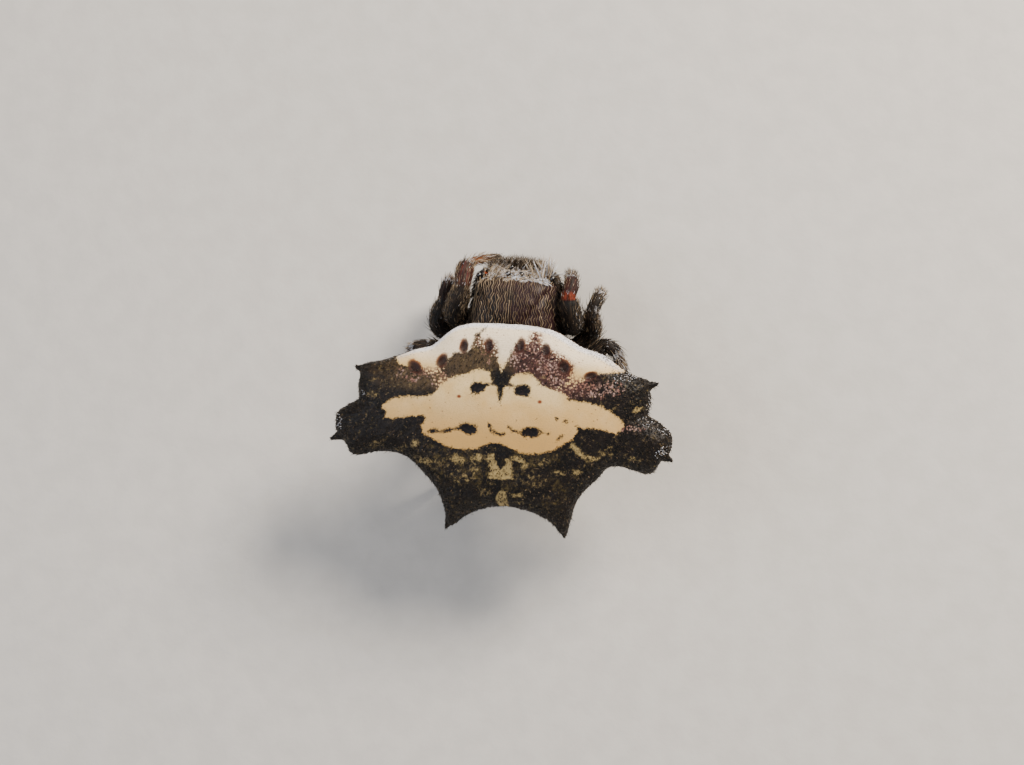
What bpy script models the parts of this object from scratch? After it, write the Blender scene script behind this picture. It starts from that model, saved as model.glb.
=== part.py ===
# Spiny orb weaver, female, life size, crouched with its legs drawn in.
# The head faces -Y, +X is the animal's left and +Z is up, with the feet on z = 0.
# The numbers below are in millimetres, because the animal is only 9.9 mm wide:
# each finished mesh is brought to metres by MM.

import bpy
import bmesh
import numpy as np
from math import cos, pi, radians, sin
from mathutils import Matrix, Vector

MM = 0.001
# Space left between two nodes that meet: a tenth of a leg's thickness.
GAP = 0.06
# Moves the model so that the middle of its outer box stands over the origin.
BODY_SHIFT = Vector((-0.044, 0.641, 0.0))

# The abdomen is a wide spined plate over a blunt cone. Its own frame has x across,
# y to the rear and z out of the back, and leans down to the rear.
ABDOMEN_CENTRE = Vector((0.0, 0.6, 3.75))
ABDOMEN_TILT = radians(16.0)
# Left half of the plate's outline, from the middle of the front edge, round the
# front corner spine, the side spine and the rear spine, to the middle of the rear.
# The right half mirrors it before the two are bent by the lean and the swells below.
PLATE_OUTLINE = [
    (0.0, -2.66), (0.85, -2.64), (1.40, -2.52), (2.00, -2.18), (2.60, -1.83), (3.15, -1.58),
    (3.78, -1.37), (4.06, -1.12), (4.05, -0.70), (4.12, -0.22), (4.52, 0.08), (4.70, 0.48),
    (4.50, 0.92), (4.05, 1.20), (3.45, 1.10), (2.90, 1.08), (2.42, 1.50), (2.00, 1.95),
    (1.84, 2.50), (1.50, 2.86), (1.05, 2.66), (0.55, 2.42), (0.0, 2.35),
]
# The rear third leans to the animal's right: how far, between which y, and how far out.
REAR_LEAN = 0.25
REAR_LEAN_Y = (0.55, 1.50)
REAR_LEAN_X = (2.9, 3.7)
# Swells of the front edge: middle x, spread, how far forward.
FRONT_SWELLS = [(-2.75, 0.55, 0.20), (2.05, 0.36, -0.15)]
PLATE_BACK = 0.42
PLATE_UNDER = 0.50
BACK_RISE = 0.34
EDGE_ROUNDING = 6.0
INNER_REACH = (3.9, 2.5)
HUMP_REACH = (4.5, 3.0)
VENTER_DEPTH = 1.75
VENTER_MIDDLE = (0.0, 0.55)
VENTER_SPREAD = (2.10, 1.55)
ABDOMEN_AROUND = 96
ABDOMEN_RINGS = 20
# Each needle is (root, tip) in the abdomen's frame.
NEEDLES = [
    ((3.80, -1.12, -0.04), (4.30, -1.24, 0.02)), ((-3.80, -1.14, -0.04), (-4.34, -1.26, 0.02)),
    ((4.35, 0.62, -0.04), (4.90, 0.84, -0.02)), ((-4.30, 0.62, -0.04), (-4.81, 0.86, -0.02)),
    ((1.30, 2.50, -0.06), (1.46, 3.19, -0.14)), ((-1.72, 2.50, -0.06), (-1.90, 3.21, -0.14)),
]
NEEDLE_ROOT_RADIUS = 0.24
NEEDLE_TIP_RADIUS = 0.025

PEDICEL_RADIUS = 0.25
PEDICEL_MEETS = (0.0, -0.72)
# Where it starts and bends, as y and z, and what its top plane cuts off.
PEDICEL_ROOT = (-1.05, 1.96)
PEDICEL_BEND = (-0.80, 2.02)
PEDICEL_SPARE = Vector((0.0, 0.06, 0.2))
# How far out on the plate, from 0 in the middle to 1 at the rim, the pedicel meets it.
PEDICEL_REACH = 0.3
SPINNERET_RING = 0.42
SPINNERET_RING_DEPTH = 0.22
# Each pair of spinning cones: y from the ring's middle, radius, length.
SPINNERET_PAIRS = [(-0.18, 0.14, 0.34), (0.02, 0.09, 0.26), (0.20, 0.12, 0.36)]

# Carapace stations, front to rear: y, half width, top, and how boxy the ring is.
CARAPACE_X = 0.17
CARAPACE_SEAM = 2.05
CARAPACE_UNDER = 1.70
CARAPACE_STATIONS = [
    (-4.14, 0.45, 2.24, 0.80), (-4.02, 0.80, 2.52, 0.72), (-3.82, 1.00, 2.84, 0.62),
    (-3.60, 1.10, 3.12, 0.56), (-3.38, 1.16, 3.32, 0.56), (-3.05, 1.20, 3.37, 0.62),
    (-2.65, 1.22, 3.32, 0.68), (-2.20, 1.22, 3.16, 0.76), (-1.70, 1.14, 2.88, 0.82),
    (-1.30, 0.96, 2.56, 0.86), (-1.02, 0.66, 2.28, 0.90), (-0.90, 0.36, 2.12, 1.00),
]
CARAPACE_AROUND = 32

STERNUM_STATIONS = [(-2.75, 0.16), (-2.60, 0.34), (-2.30, 0.42), (-1.80, 0.40), (-1.40, 0.24), (-1.20, 0.08)]
STERNUM_BOTTOM = 1.08
STERNUM_TOP = 1.64

# Left chelicera and left pedipalp, from root to tip: x from the carapace's middle
# line, y, z, radius.
CHELICERA = [(0.30, -3.74, 1.76, 0.24), (0.34, -3.90, 1.35, 0.28), (0.30, -3.88, 0.92, 0.11)]
PEDIPALP = [(0.78, -3.10, 1.44, 0.18), (0.88, -3.72, 1.46, 0.19), (0.82, -4.08, 1.20, 0.17),
            (0.70, -4.18, 0.78, 0.09)]
MOUTHPART_STEPS = 4

EYE_RADIUS = 0.085
EYE_SOCKET_GAP = 0.05
# Left eye of each pair: x from the carapace's middle line, y, z.
EYES = {
    "front_middle": (0.17, -4.00, 2.64),
    "rear_middle": (0.19, -3.72, 3.02),
    "front_side": (0.92, -3.86, 2.70),
    "rear_side": (1.05, -3.68, 2.84),
}

# Joints of each leg from the sternum's edge to the foot, and the middle of the bowed
# femur. The animal sits with all knees drawn in beside the carapace.
LEGS = {
    "left_1": dict(root=(0.70, -2.55, 1.38), hip=(1.52, -2.72, 1.40), bow=(1.90, -2.62, 2.30),
                   knee=(1.66, -3.28, 2.92), patella=(1.58, -4.02, 2.72), ankle=(0.92, -4.48, 1.72),
                   heel=(1.16, -4.66, 0.66), foot=(1.30, -4.80, 0.0)),
    "left_2": dict(root=(0.80, -2.15, 1.38), hip=(1.68, -2.08, 1.38), bow=(2.44, -2.40, 1.66),
                   knee=(2.34, -3.02, 2.06), patella=(2.26, -3.62, 1.96), ankle=(2.30, -3.80, 1.24),
                   heel=(2.48, -3.64, 0.52), foot=(2.56, -3.44, 0.0)),
    "left_3": dict(root=(0.80, -1.75, 1.38), hip=(1.66, -1.48, 1.38), bow=(2.14, -1.62, 1.74),
                   knee=(2.60, -1.77, 1.90), patella=(3.08, -1.70, 1.84), ankle=(3.28, -1.72, 1.16),
                   heel=(3.14, -1.80, 0.52), foot=(3.06, -1.90, 0.0)),
    "left_4": dict(root=(0.58, -1.42, 1.38), hip=(1.36, -0.94, 1.38), bow=(2.00, -0.34, 1.72),
                   knee=(2.44, 0.36, 1.74), patella=(2.62, 1.02, 1.52), ankle=(2.60, 1.56, 1.02),
                   heel=(2.42, 1.84, 0.46), foot=(2.30, 1.98, 0.0)),
    "right_1": dict(root=(-0.38, -2.55, 1.38), hip=(-1.30, -2.66, 1.40), bow=(-1.48, -2.56, 2.40),
                    knee=(-1.40, -3.14, 2.94), patella=(-1.44, -3.70, 2.76), ankle=(-1.20, -4.08, 1.76),
                    heel=(-1.06, -4.12, 0.68), foot=(-1.06, -4.02, 0.0)),
    "right_2": dict(root=(-0.46, -2.15, 1.38), hip=(-1.44, -2.06, 1.36), bow=(-1.92, -2.42, 1.58),
                    knee=(-1.94, -2.98, 2.07), patella=(-2.12, -3.48, 1.97), ankle=(-2.06, -3.68, 1.18),
                    heel=(-1.93, -3.60, 0.52), foot=(-1.81, -3.46, 0.0)),
    "right_3": dict(root=(-0.44, -1.75, 1.38), hip=(-1.36, -1.44, 1.38), bow=(-1.96, -1.72, 1.70),
                    knee=(-2.42, -2.10, 1.92), patella=(-2.74, -1.84, 1.84), ankle=(-2.88, -1.44, 1.20),
                    heel=(-2.74, -1.38, 0.52), foot=(-2.62, -1.46, 0.0)),
    "right_4": dict(root=(-0.18, -1.42, 1.38), hip=(-1.06, -0.98, 1.38), bow=(-1.62, -0.46, 1.68),
                    knee=(-1.96, 0.10, 1.70), patella=(-1.98, 0.60, 1.50), ankle=(-1.88, 0.94, 1.00),
                    heel=(-1.70, 1.08, 0.46), foot=(-1.60, 1.14, 0.0)),
}
# Radii at the two ends and the middle of each length of leg.
COXA_RADII = (0.15, 0.21, 0.25)
FEMUR_RADII = (0.25, 0.27, 0.25)
TIBIA_RADII = (0.25, 0.24, 0.25)
FOOT_RADII = (0.24, 0.22, 0.13)
# How far a foot runs on below the floor before the floor's plane cuts it flat.
FOOT_SPARE = 0.1
LEG_SIDES = 10
LEG_STEPS = 4
# Length added at each end of a tube before its joint's plane cuts it.
MITRE_SPARE = 0.22

COLLECTION = bpy.data.collections.new("SpinyOrbWeaver")


def clear_scene():
    for item in list(bpy.data.objects):
        bpy.data.objects.remove(item)
    bpy.context.scene.collection.children.link(COLLECTION)


def material(name, colour, roughness):
    made = bpy.data.materials.get(name) or bpy.data.materials.new(name)
    made.use_nodes = True
    shader = made.node_tree.nodes["Principled BSDF"]
    shader.inputs["Base Color"].default_value = (*colour, 1.0)
    shader.inputs["Roughness"].default_value = roughness
    shader.inputs["Metallic"].default_value = 0.0
    made.diffuse_color = (*colour, 1.0)
    return made


CREAM = ("cream_shield", (0.67, 0.55, 0.38), 0.45)
BLACK = ("black_cuticle", (0.02, 0.018, 0.017), 0.4)
BROWN = ("brown_cuticle", (0.05, 0.03, 0.02), 0.5)
GLASSY = ("eye_lens", (0.01, 0.006, 0.004), 0.1)


def add_object(name, mesh, finish):
    made = bpy.data.objects.new(name, mesh)
    COLLECTION.objects.link(made)
    mesh.materials.clear()
    mesh.materials.append(material(*finish))
    return made


def mesh_of(bm, name):
    """Recalculated, closed mesh from a bmesh, still in millimetres."""
    bmesh.ops.recalc_face_normals(bm, faces=bm.faces)
    if bm.calc_volume(signed=True) < 0:
        bmesh.ops.reverse_faces(bm, faces=bm.faces)
    mesh = bpy.data.meshes.new(name)
    bm.to_mesh(mesh)
    bm.free()
    return mesh


def smooth_line(points, steps):
    """Points on a Catmull-Rom curve through the given ones."""
    line = [Vector(p) for p in points]
    line = [2 * line[0] - line[1]] + line + [2 * line[-1] - line[-2]]
    found = []
    for a, b, c, d in zip(line, line[1:], line[2:], line[3:]):
        for i in range(steps):
            t = i / steps
            found.append(0.5 * (2 * b + (c - a) * t + (2 * a - 5 * b + 4 * c - d) * t * t
                                + (3 * b - a - 3 * c + d) * t ** 3))
    return found + [line[-2]]


def tube(name, line, radii):
    """Closed tube along a line with a radius at each point, made from a bevelled curve."""
    curve = bpy.data.curves.new(name, "CURVE")
    curve.dimensions = "3D"
    curve.bevel_depth = 1.0
    curve.bevel_resolution = (LEG_SIDES - 4) // 2
    curve.use_fill_caps = True
    spline = curve.splines.new("POLY")
    spline.points.add(len(line) - 1)
    for point, place, radius in zip(spline.points, line, radii):
        point.co = (*place, 1.0)
        point.radius = radius
    holder = bpy.data.objects.new(name, curve)
    COLLECTION.objects.link(holder)
    graph = bpy.context.evaluated_depsgraph_get()
    mesh = bpy.data.meshes.new_from_object(holder.evaluated_get(graph))
    bpy.data.objects.remove(holder)
    bpy.data.curves.remove(curve)
    bm = bmesh.new()
    bm.from_mesh(mesh)
    bpy.data.meshes.remove(mesh)
    bmesh.ops.remove_doubles(bm, verts=bm.verts, dist=0.0001)
    return bm


def spread_radii(ends_and_middle, count):
    first, middle, last = ends_and_middle
    return np.interp(np.linspace(0, 1, count), (0, 0.5, 1), (first, middle, last))


def cut_away(bm, place, normal):
    """Cuts off what lies past the plane and closes the cut."""
    everything = bm.verts[:] + bm.edges[:] + bm.faces[:]
    cut = bmesh.ops.bisect_plane(bm, geom=everything, plane_co=place, plane_no=normal, clear_outer=True)
    edges = [e for e in cut["geom_cut"] if isinstance(e, bmesh.types.BMEdge)]
    bmesh.ops.contextual_create(bm, geom=edges)


def joint_plane(before, joint, after):
    """Direction of the mitre plane at a joint, pointing along the leg."""
    incoming = (Vector(joint) - Vector(before)).normalized()
    outgoing = (Vector(after) - Vector(joint)).normalized()
    return (incoming + outgoing).normalized()


def leg_length(name, points, radii, start_normal, end_normal):
    """One length of a leg, with each end cut flat on its joint's mitre plane."""
    first, last = Vector(points[0]), Vector(points[-1])
    line = smooth_line(points, LEG_STEPS)
    sizes = list(spread_radii(radii, len(line)))
    line.insert(0, line[0] + (line[0] - line[1]).normalized() * MITRE_SPARE)
    sizes.insert(0, sizes[0])
    if end_normal is not None:
        line.append(line[-1] + (line[-1] - line[-2]).normalized() * MITRE_SPARE)
        sizes.append(sizes[-1])
    bm = tube(name, line, sizes)
    cut_away(bm, first + start_normal * GAP / 2, -start_normal)
    if end_normal is not None:
        cut_away(bm, last - end_normal * GAP / 2, end_normal)
    return bm


def make_leg(side_name, joints):
    j = {key: Vector(value) for key, value in joints.items()}
    hip = joint_plane(j["root"], j["hip"], j["bow"])
    knee = joint_plane(j["bow"], j["knee"], j["patella"])
    ankle = joint_plane(j["patella"], j["ankle"], j["heel"])
    root = (j["hip"] - j["root"]).normalized()
    lengths = {
        "coxa": ([j["root"], (j["root"] + j["hip"]) / 2, j["hip"]], COXA_RADII, root, hip),
        "femur": ([j["hip"], j["bow"], j["knee"]], FEMUR_RADII, hip, knee),
        "tibia": ([j["knee"], j["patella"], j["ankle"]], TIBIA_RADII, knee, ankle),
    }
    for part, (points, radii, start, end) in lengths.items():
        name = f"leg_{side_name}_{part}"
        bm = leg_length(name, points, radii, start, end)
        add_object(name, mesh_of(bm, name), BLACK)
    name = f"leg_{side_name}_foot"
    toe = j["foot"] + (j["foot"] - j["heel"]).normalized() * FOOT_SPARE
    bm = leg_length(name, [j["ankle"], j["heel"], toe], FOOT_RADII, ankle, None)
    cut_away(bm, Vector((0, 0, 0)), Vector((0, 0, -1)))
    add_object(name, mesh_of(bm, name), BLACK)


def smooth_step(value, low, high):
    t = min(1.0, max(0.0, (value - low) / (high - low)))
    return t * t * (3.0 - 2.0 * t)


def bent(x, y):
    """Outline point with the lean of the rear and the swells of the front edge."""
    lean = REAR_LEAN * smooth_step(y, *REAR_LEAN_Y) * (1.0 - smooth_step(abs(x), *REAR_LEAN_X))
    if y < 0.0:
        for middle, spread, reach in FRONT_SWELLS:
            y -= reach * np.exp(-((x - middle) / spread) ** 2)
    return x - lean, y


def outline_curve():
    """The whole outline of the plate as evenly spaced points, starting at the front."""
    left = PLATE_OUTLINE
    right = [(-x, y) for x, y in reversed(left[1:-1])]
    ring = [Vector((*bent(x, y), 0)) for x, y in left + right]
    line = smooth_line([ring[-1]] + ring + ring[:2], 8)[8:-8]
    line = line[:8 * len(ring) + 1]
    steps = [0.0]
    for a, b in zip(line, line[1:]):
        steps.append(steps[-1] + (b - a).length)
    wanted = np.linspace(0, steps[-1], ABDOMEN_AROUND, endpoint=False)
    xs = np.interp(wanted, steps, [p.x for p in line])
    ys = np.interp(wanted, steps, [p.y for p in line])
    return list(zip(xs, ys))


def plate_point(s, corner):
    """Where a ring at s of the way out passes a corner of the outline: inner rings are round."""
    outer = Vector(corner)
    if s < 0.001:
        return 0.0, 0.0
    way = outer.normalized()
    round_reach = 1.0 / ((way.x / INNER_REACH[0]) ** 2 + (way.y / INNER_REACH[1]) ** 2) ** 0.5
    follow = max(0.0, (s - 0.25) / 0.75) ** 1.5
    reach = s * (round_reach * (1.0 - follow) + outer.length * follow)
    return way.x * reach, way.y * reach


def plate_height(s, x, y, above):
    edge = max(0.0, 1.0 - s ** EDGE_ROUNDING) ** 0.5
    if above:
        hump = 1.0 - (x / HUMP_REACH[0]) ** 2 - (y / HUMP_REACH[1]) ** 2
        return PLATE_BACK * edge + BACK_RISE * max(hump, 0.0)
    dx = (x - VENTER_MIDDLE[0]) / VENTER_SPREAD[0]
    dy = (y - VENTER_MIDDLE[1]) / VENTER_SPREAD[1]
    return -PLATE_UNDER * edge - VENTER_DEPTH * np.exp(-(dx * dx + dy * dy)) * edge


def abdomen_to_body(p):
    turned = Matrix.Rotation(-ABDOMEN_TILT, 4, "X") @ Vector(p)
    return ABDOMEN_CENTRE + turned


def plate_body():
    """A sphere whose rings follow the outline, shaped to the plate and the venter."""
    outline = outline_curve()
    bm = bmesh.new()
    bmesh.ops.create_uvsphere(bm, u_segments=ABDOMEN_AROUND, v_segments=ABDOMEN_RINGS, radius=1.0)
    for v in bm.verts:
        flat = Vector((v.co.x, v.co.y))
        around = np.arctan2(v.co.y, v.co.x) % (2 * pi)
        index = int(round(around / (2 * pi) * ABDOMEN_AROUND)) % ABDOMEN_AROUND
        s = min(1.0, flat.length) ** 0.75
        above = v.co.z > -1e-6
        x, y = plate_point(s, outline[index])
        v.co = abdomen_to_body((x, y, plate_height(s, x, y, above)))
    return bm


def needle(start, end):
    start, end = abdomen_to_body(start), abdomen_to_body(end)
    bm = bmesh.new()
    along = end - start
    bmesh.ops.create_cone(bm, cap_ends=True, segments=10, radius1=NEEDLE_ROOT_RADIUS,
                          radius2=NEEDLE_TIP_RADIUS, depth=along.length)
    turn = along.to_track_quat("Z", "Y").to_matrix().to_4x4()
    bmesh.ops.transform(bm, matrix=Matrix.Translation((start + end) / 2) @ turn, verts=bm.verts)
    return bm


def largest_surface(mesh):
    """Keeps only the largest closed surface of a mesh."""
    bm = bmesh.new()
    bm.from_mesh(mesh)
    left = set(bm.faces)
    groups = []
    while left:
        group = {left.pop()}
        edge = list(group)
        while edge:
            face = edge.pop()
            for link in face.edges:
                for other in link.link_faces:
                    if other in left:
                        left.remove(other)
                        group.add(other)
                        edge.append(other)
        groups.append(group)
    groups.sort(key=len)
    extra = [face for group in groups[:-1] for face in group]
    if extra:
        bmesh.ops.delete(bm, geom=extra, context="FACES")
    bm.to_mesh(mesh)
    bm.free()


def joined(name, base, pieces, finish, operation="UNION"):
    """Base mesh with the pieces fused to it, or cut from it, by one Boolean."""
    made = add_object(name, base, finish)
    holder = bpy.data.collections.new(name + "_pieces")
    bpy.context.scene.collection.children.link(holder)
    for i, mesh in enumerate(pieces):
        holder.objects.link(bpy.data.objects.new(f"{name}_piece_{i}", mesh))
    boolean = made.modifiers.new("fuse", "BOOLEAN")
    boolean.operation = operation
    boolean.operand_type = "COLLECTION"
    boolean.collection = holder
    boolean.solver = "EXACT"
    graph = bpy.context.evaluated_depsgraph_get()
    fused = bpy.data.meshes.new_from_object(made.evaluated_get(graph))
    made.modifiers.remove(boolean)
    made.data = fused
    for item in list(holder.objects):
        bpy.data.objects.remove(item)
    bpy.data.collections.remove(holder)
    largest_surface(fused)
    return made


def make_abdomen():
    pieces = [mesh_of(needle(start, end), "needle") for start, end in NEEDLES]
    joined("abdomen", mesh_of(plate_body(), "abdomen"), pieces, CREAM)


def ring_body(stations, around, ring_point):
    """Sphere stretched front to rear, each ring set by its station."""
    bm = bmesh.new()
    bmesh.ops.create_uvsphere(bm, u_segments=around, v_segments=len(stations) + 1, radius=1.0)
    count = len(stations) + 1
    for v in bm.verts:
        ring = int(round(np.arccos(np.clip(v.co.z, -1, 1)) / pi * count))
        angle = np.arctan2(v.co.y, v.co.x)
        if ring in (0, count):
            station = stations[0] if ring == 0 else stations[-1]
            v.co = ring_point(station, None)
        else:
            v.co = ring_point(stations[ring - 1], angle)
    return bm


def power(value, exponent):
    return np.sign(value) * abs(value) ** exponent


def carapace_point(station, angle):
    y, half_width, top, boxy = station
    if angle is None:
        return Vector((CARAPACE_X, y, (CARAPACE_SEAM + min(top, CARAPACE_SEAM + 0.3)) / 2))
    x = half_width * power(cos(angle), boxy)
    up = top - CARAPACE_SEAM
    down = CARAPACE_SEAM - CARAPACE_UNDER
    rise = up * power(sin(angle), 0.75) if sin(angle) > 0 else down * power(sin(angle), 0.8)
    return Vector((CARAPACE_X + x, y, CARAPACE_SEAM + rise))


def eye_places():
    for pair, (x, y, z) in EYES.items():
        yield f"eye_{pair}_left", Vector((CARAPACE_X + x, y, z))
        yield f"eye_{pair}_right", Vector((CARAPACE_X - x, y, z))


def ball(place, radius):
    bm = bmesh.new()
    bmesh.ops.create_uvsphere(bm, u_segments=10, v_segments=7, radius=radius)
    bmesh.ops.translate(bm, vec=place, verts=bm.verts)
    return bm


def make_carapace():
    bm = ring_body(CARAPACE_STATIONS, CARAPACE_AROUND, carapace_point)
    sockets = [mesh_of(ball(place, EYE_RADIUS + EYE_SOCKET_GAP), "socket") for _, place in eye_places()]
    joined("carapace", mesh_of(bm, "carapace"), sockets, BROWN, "DIFFERENCE")
    for name, place in eye_places():
        add_object(name, mesh_of(ball(place, EYE_RADIUS), name), GLASSY)


def sternum_point(station, angle):
    y, half_width = station
    middle = (STERNUM_BOTTOM + STERNUM_TOP) / 2
    if angle is None:
        return Vector((CARAPACE_X, y, middle))
    half_height = (STERNUM_TOP - STERNUM_BOTTOM) / 2
    return Vector((CARAPACE_X + half_width * power(cos(angle), 0.6), y,
                   middle + half_height * power(sin(angle), 0.5)))


def make_sternum():
    bm = ring_body(STERNUM_STATIONS, 16, sternum_point)
    add_object("sternum", mesh_of(bm, "sternum"), BROWN)


def mouthpart(name, stations, side, cut_height):
    """Tapered bent limb beside the mouth, with its root cut level under the carapace."""
    line = smooth_line([(CARAPACE_X + side * x, y, z) for x, y, z, _ in stations], MOUTHPART_STEPS)
    radii = [radius for *_, radius in stations]
    sizes = np.interp(np.linspace(0, len(radii) - 1, len(line)), range(len(radii)), radii)
    bm = tube(name, line, sizes)
    if cut_height is not None:
        cut_away(bm, Vector((0, 0, cut_height)), Vector((0, 0, 1)))
    add_object(name, mesh_of(bm, name), BLACK)


def make_mouthparts():
    for side_name, side in (("left", 1), ("right", -1)):
        mouthpart(f"chelicera_{side_name}", CHELICERA, side, CARAPACE_UNDER - GAP)
        mouthpart(f"pedipalp_{side_name}", PEDIPALP, side, None)


def make_pedicel():
    """Short stalk from the back of the carapace up to the underside of the abdomen."""
    under = plate_height(PEDICEL_REACH, *PEDICEL_MEETS, False) - 3 * GAP
    top = abdomen_to_body((*PEDICEL_MEETS, under))
    places = [Vector((CARAPACE_X, *PEDICEL_ROOT)), Vector((CARAPACE_X / 2, *PEDICEL_BEND))]
    line = smooth_line(places + [top, top + PEDICEL_SPARE], 3)
    bm = tube("pedicel", line, [PEDICEL_RADIUS] * len(line))
    cut_away(bm, Vector((0, CARAPACE_STATIONS[-1][0] + GAP, 0)), Vector((0, -1, 0)))
    cut_away(bm, top, abdomen_to_body((0, 0, 1)) - ABDOMEN_CENTRE)
    add_object("pedicel", mesh_of(bm, "pedicel"), BROWN)


def cone_in_abdomen(base, radius, tip_radius, height, sides):
    """Cone that points down out of the venter from a place in the abdomen's frame."""
    bm = bmesh.new()
    bmesh.ops.create_cone(bm, cap_ends=True, segments=sides, radius1=tip_radius,
                          radius2=radius, depth=height)
    for v in bm.verts:
        v.co = abdomen_to_body(v.co + Vector(base) - Vector((0, 0, height / 2)))
    return bm


def make_spinnerets():
    """A low ring with three pairs of short spinning cones."""
    top = -PLATE_UNDER - VENTER_DEPTH - GAP
    ring = cone_in_abdomen((0, VENTER_MIDDLE[1], top), SPINNERET_RING, SPINNERET_RING * 0.9,
                           SPINNERET_RING_DEPTH, 14)
    cones = []
    for y, radius, height in SPINNERET_PAIRS:
        for side in (1, -1):
            base = (side * radius * 1.15, VENTER_MIDDLE[1] + y, top - SPINNERET_RING_DEPTH / 2)
            cones.append(mesh_of(cone_in_abdomen(base, radius, radius * 0.5, height, 8), "spinneret"))
    joined("spinnerets", mesh_of(ring, "spinnerets"), cones, BROWN)


def to_metres():
    for item in COLLECTION.objects:
        item.data.transform(Matrix.Scale(MM, 4) @ Matrix.Translation(BODY_SHIFT))
        item.data.shade_smooth()
        item.data.set_sharp_from_angle(angle=radians(40))


clear_scene()
make_abdomen()
make_carapace()
make_sternum()
make_mouthparts()
make_pedicel()
make_spinnerets()
for leg_name, leg_joints in LEGS.items():
    make_leg(leg_name, leg_joints)
to_metres()
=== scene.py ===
from functools import partial
from math import cos, pi, radians, sin

import bmesh
import bpy
import numpy as np
from mathutils import Matrix, Vector
from mathutils.bvhtree import BVHTree
from mathutils.kdtree import KDTree


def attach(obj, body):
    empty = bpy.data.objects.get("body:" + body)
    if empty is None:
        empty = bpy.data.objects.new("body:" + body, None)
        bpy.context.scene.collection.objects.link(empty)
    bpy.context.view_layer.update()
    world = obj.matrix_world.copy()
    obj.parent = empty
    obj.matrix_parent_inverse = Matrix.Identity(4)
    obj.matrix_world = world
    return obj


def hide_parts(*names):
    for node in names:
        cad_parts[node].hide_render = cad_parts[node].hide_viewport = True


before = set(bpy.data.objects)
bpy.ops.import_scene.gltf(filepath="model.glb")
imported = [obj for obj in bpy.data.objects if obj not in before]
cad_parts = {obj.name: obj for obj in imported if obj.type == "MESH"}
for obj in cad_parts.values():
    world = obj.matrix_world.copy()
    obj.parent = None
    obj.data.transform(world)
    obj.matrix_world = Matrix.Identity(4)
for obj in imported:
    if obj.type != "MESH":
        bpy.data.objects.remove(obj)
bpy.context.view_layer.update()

mm = 0.001
bodyShift = np.array((-0.044, 0.641, 0.0))  # the model's box stands over the origin


# Meshes as arrays

def meshPoints(mesh):
    values = np.empty(len(mesh.vertices) * 3, np.float32)
    mesh.vertices.foreach_get("co", values)
    return values.reshape(-1, 3).astype(np.float64)


def meshNormals(mesh):
    values = np.empty(len(mesh.vertices) * 3, np.float32)
    mesh.vertices.foreach_get("normal", values)
    return values.reshape(-1, 3).astype(np.float64)


def setPoints(mesh, points):
    mesh.vertices.foreach_set("co", np.asarray(points, np.float32).ravel())
    mesh.update()


def addValues(mesh, name, values):
    attribute = mesh.attributes.new(name, "FLOAT", "POINT")
    attribute.data.foreach_set("value", np.asarray(values, np.float32))


def addVectors(mesh, name, values):
    attribute = mesh.attributes.new(name, "FLOAT_VECTOR", "POINT")
    attribute.data.foreach_set("vector", np.asarray(values, np.float32).ravel())


def meshFrom(bm, name):
    bmesh.ops.recalc_face_normals(bm, faces=bm.faces)
    if bm.calc_volume(signed=True) < 0:
        bmesh.ops.reverse_faces(bm, faces=bm.faces)
    mesh = bpy.data.meshes.new(name)
    bm.to_mesh(mesh)
    bm.free()
    return mesh


def smoothed(mesh, rounds, factor=0.5):
    bm = bmesh.new()
    bm.from_mesh(mesh)
    for _ in range(rounds):
        bmesh.ops.smooth_vert(bm, verts=bm.verts, factor=factor, use_axis_x=True, use_axis_y=True,
                              use_axis_z=True)
    bm.to_mesh(mesh)
    bm.free()
    return mesh


def remeshed(mesh, voxel, rounds):
    # one even skin round everything in the mesh
    holder = bpy.data.objects.new("blank", mesh)
    bpy.context.scene.collection.objects.link(holder)
    remesh = holder.modifiers.new("remesh", "REMESH")
    remesh.mode = "VOXEL"
    remesh.voxel_size = voxel
    graph = bpy.context.evaluated_depsgraph_get()
    made = bpy.data.meshes.new_from_object(holder.evaluated_get(graph))
    bpy.data.objects.remove(holder)
    bpy.data.meshes.remove(mesh)
    return smoothed(made, rounds)


def softNoise(points, size, seed):
    # smooth noise from -1 to 1, with lumps of about the given size in mm
    table = np.random.default_rng(seed).uniform(-1, 1, (32, 32, 32))
    place = np.asarray(points) / size
    cell = np.floor(place).astype(int)
    part = place - cell
    part = part * part * (3 - 2 * part)
    total = np.zeros(len(place))
    for dx in (0, 1):
        for dy in (0, 1):
            for dz in (0, 1):
                weight = np.prod(np.where((dx, dy, dz), part, 1 - part), axis=1)
                at = (cell + (dx, dy, dz)) % 32
                total += weight * table[at[:, 0], at[:, 1], at[:, 2]]
    return total


def between(value, low, high):
    # smooth step from 0 at low to 1 at high
    step = np.clip((value - low) / (high - low), 0, 1)
    return step * step * (3 - 2 * step)


def unit(vectors):
    return vectors / np.maximum(np.linalg.norm(vectors, axis=-1, keepdims=True), 1e-9)


def smoothLine(points, steps, closed=False):
    # Catmull-Rom curve through the points
    line = [np.array(p, float) for p in points]
    if closed:
        line = [line[-1]] + line + line[:2]
    else:
        line = [2 * line[0] - line[1]] + line + [2 * line[-1] - line[-2]]
    found = []
    for a, b, c, d in zip(line, line[1:], line[2:], line[3:]):
        for t in np.linspace(0, 1, steps, endpoint=False):
            found.append(0.5 * (2 * b + (c - a) * t + (2 * a - 5 * b + 4 * c - d) * t * t
                                + (3 * b - a - 3 * c + d) * t ** 3))
    return np.array(found if closed else found + [line[-2]])


# Pieces

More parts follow.
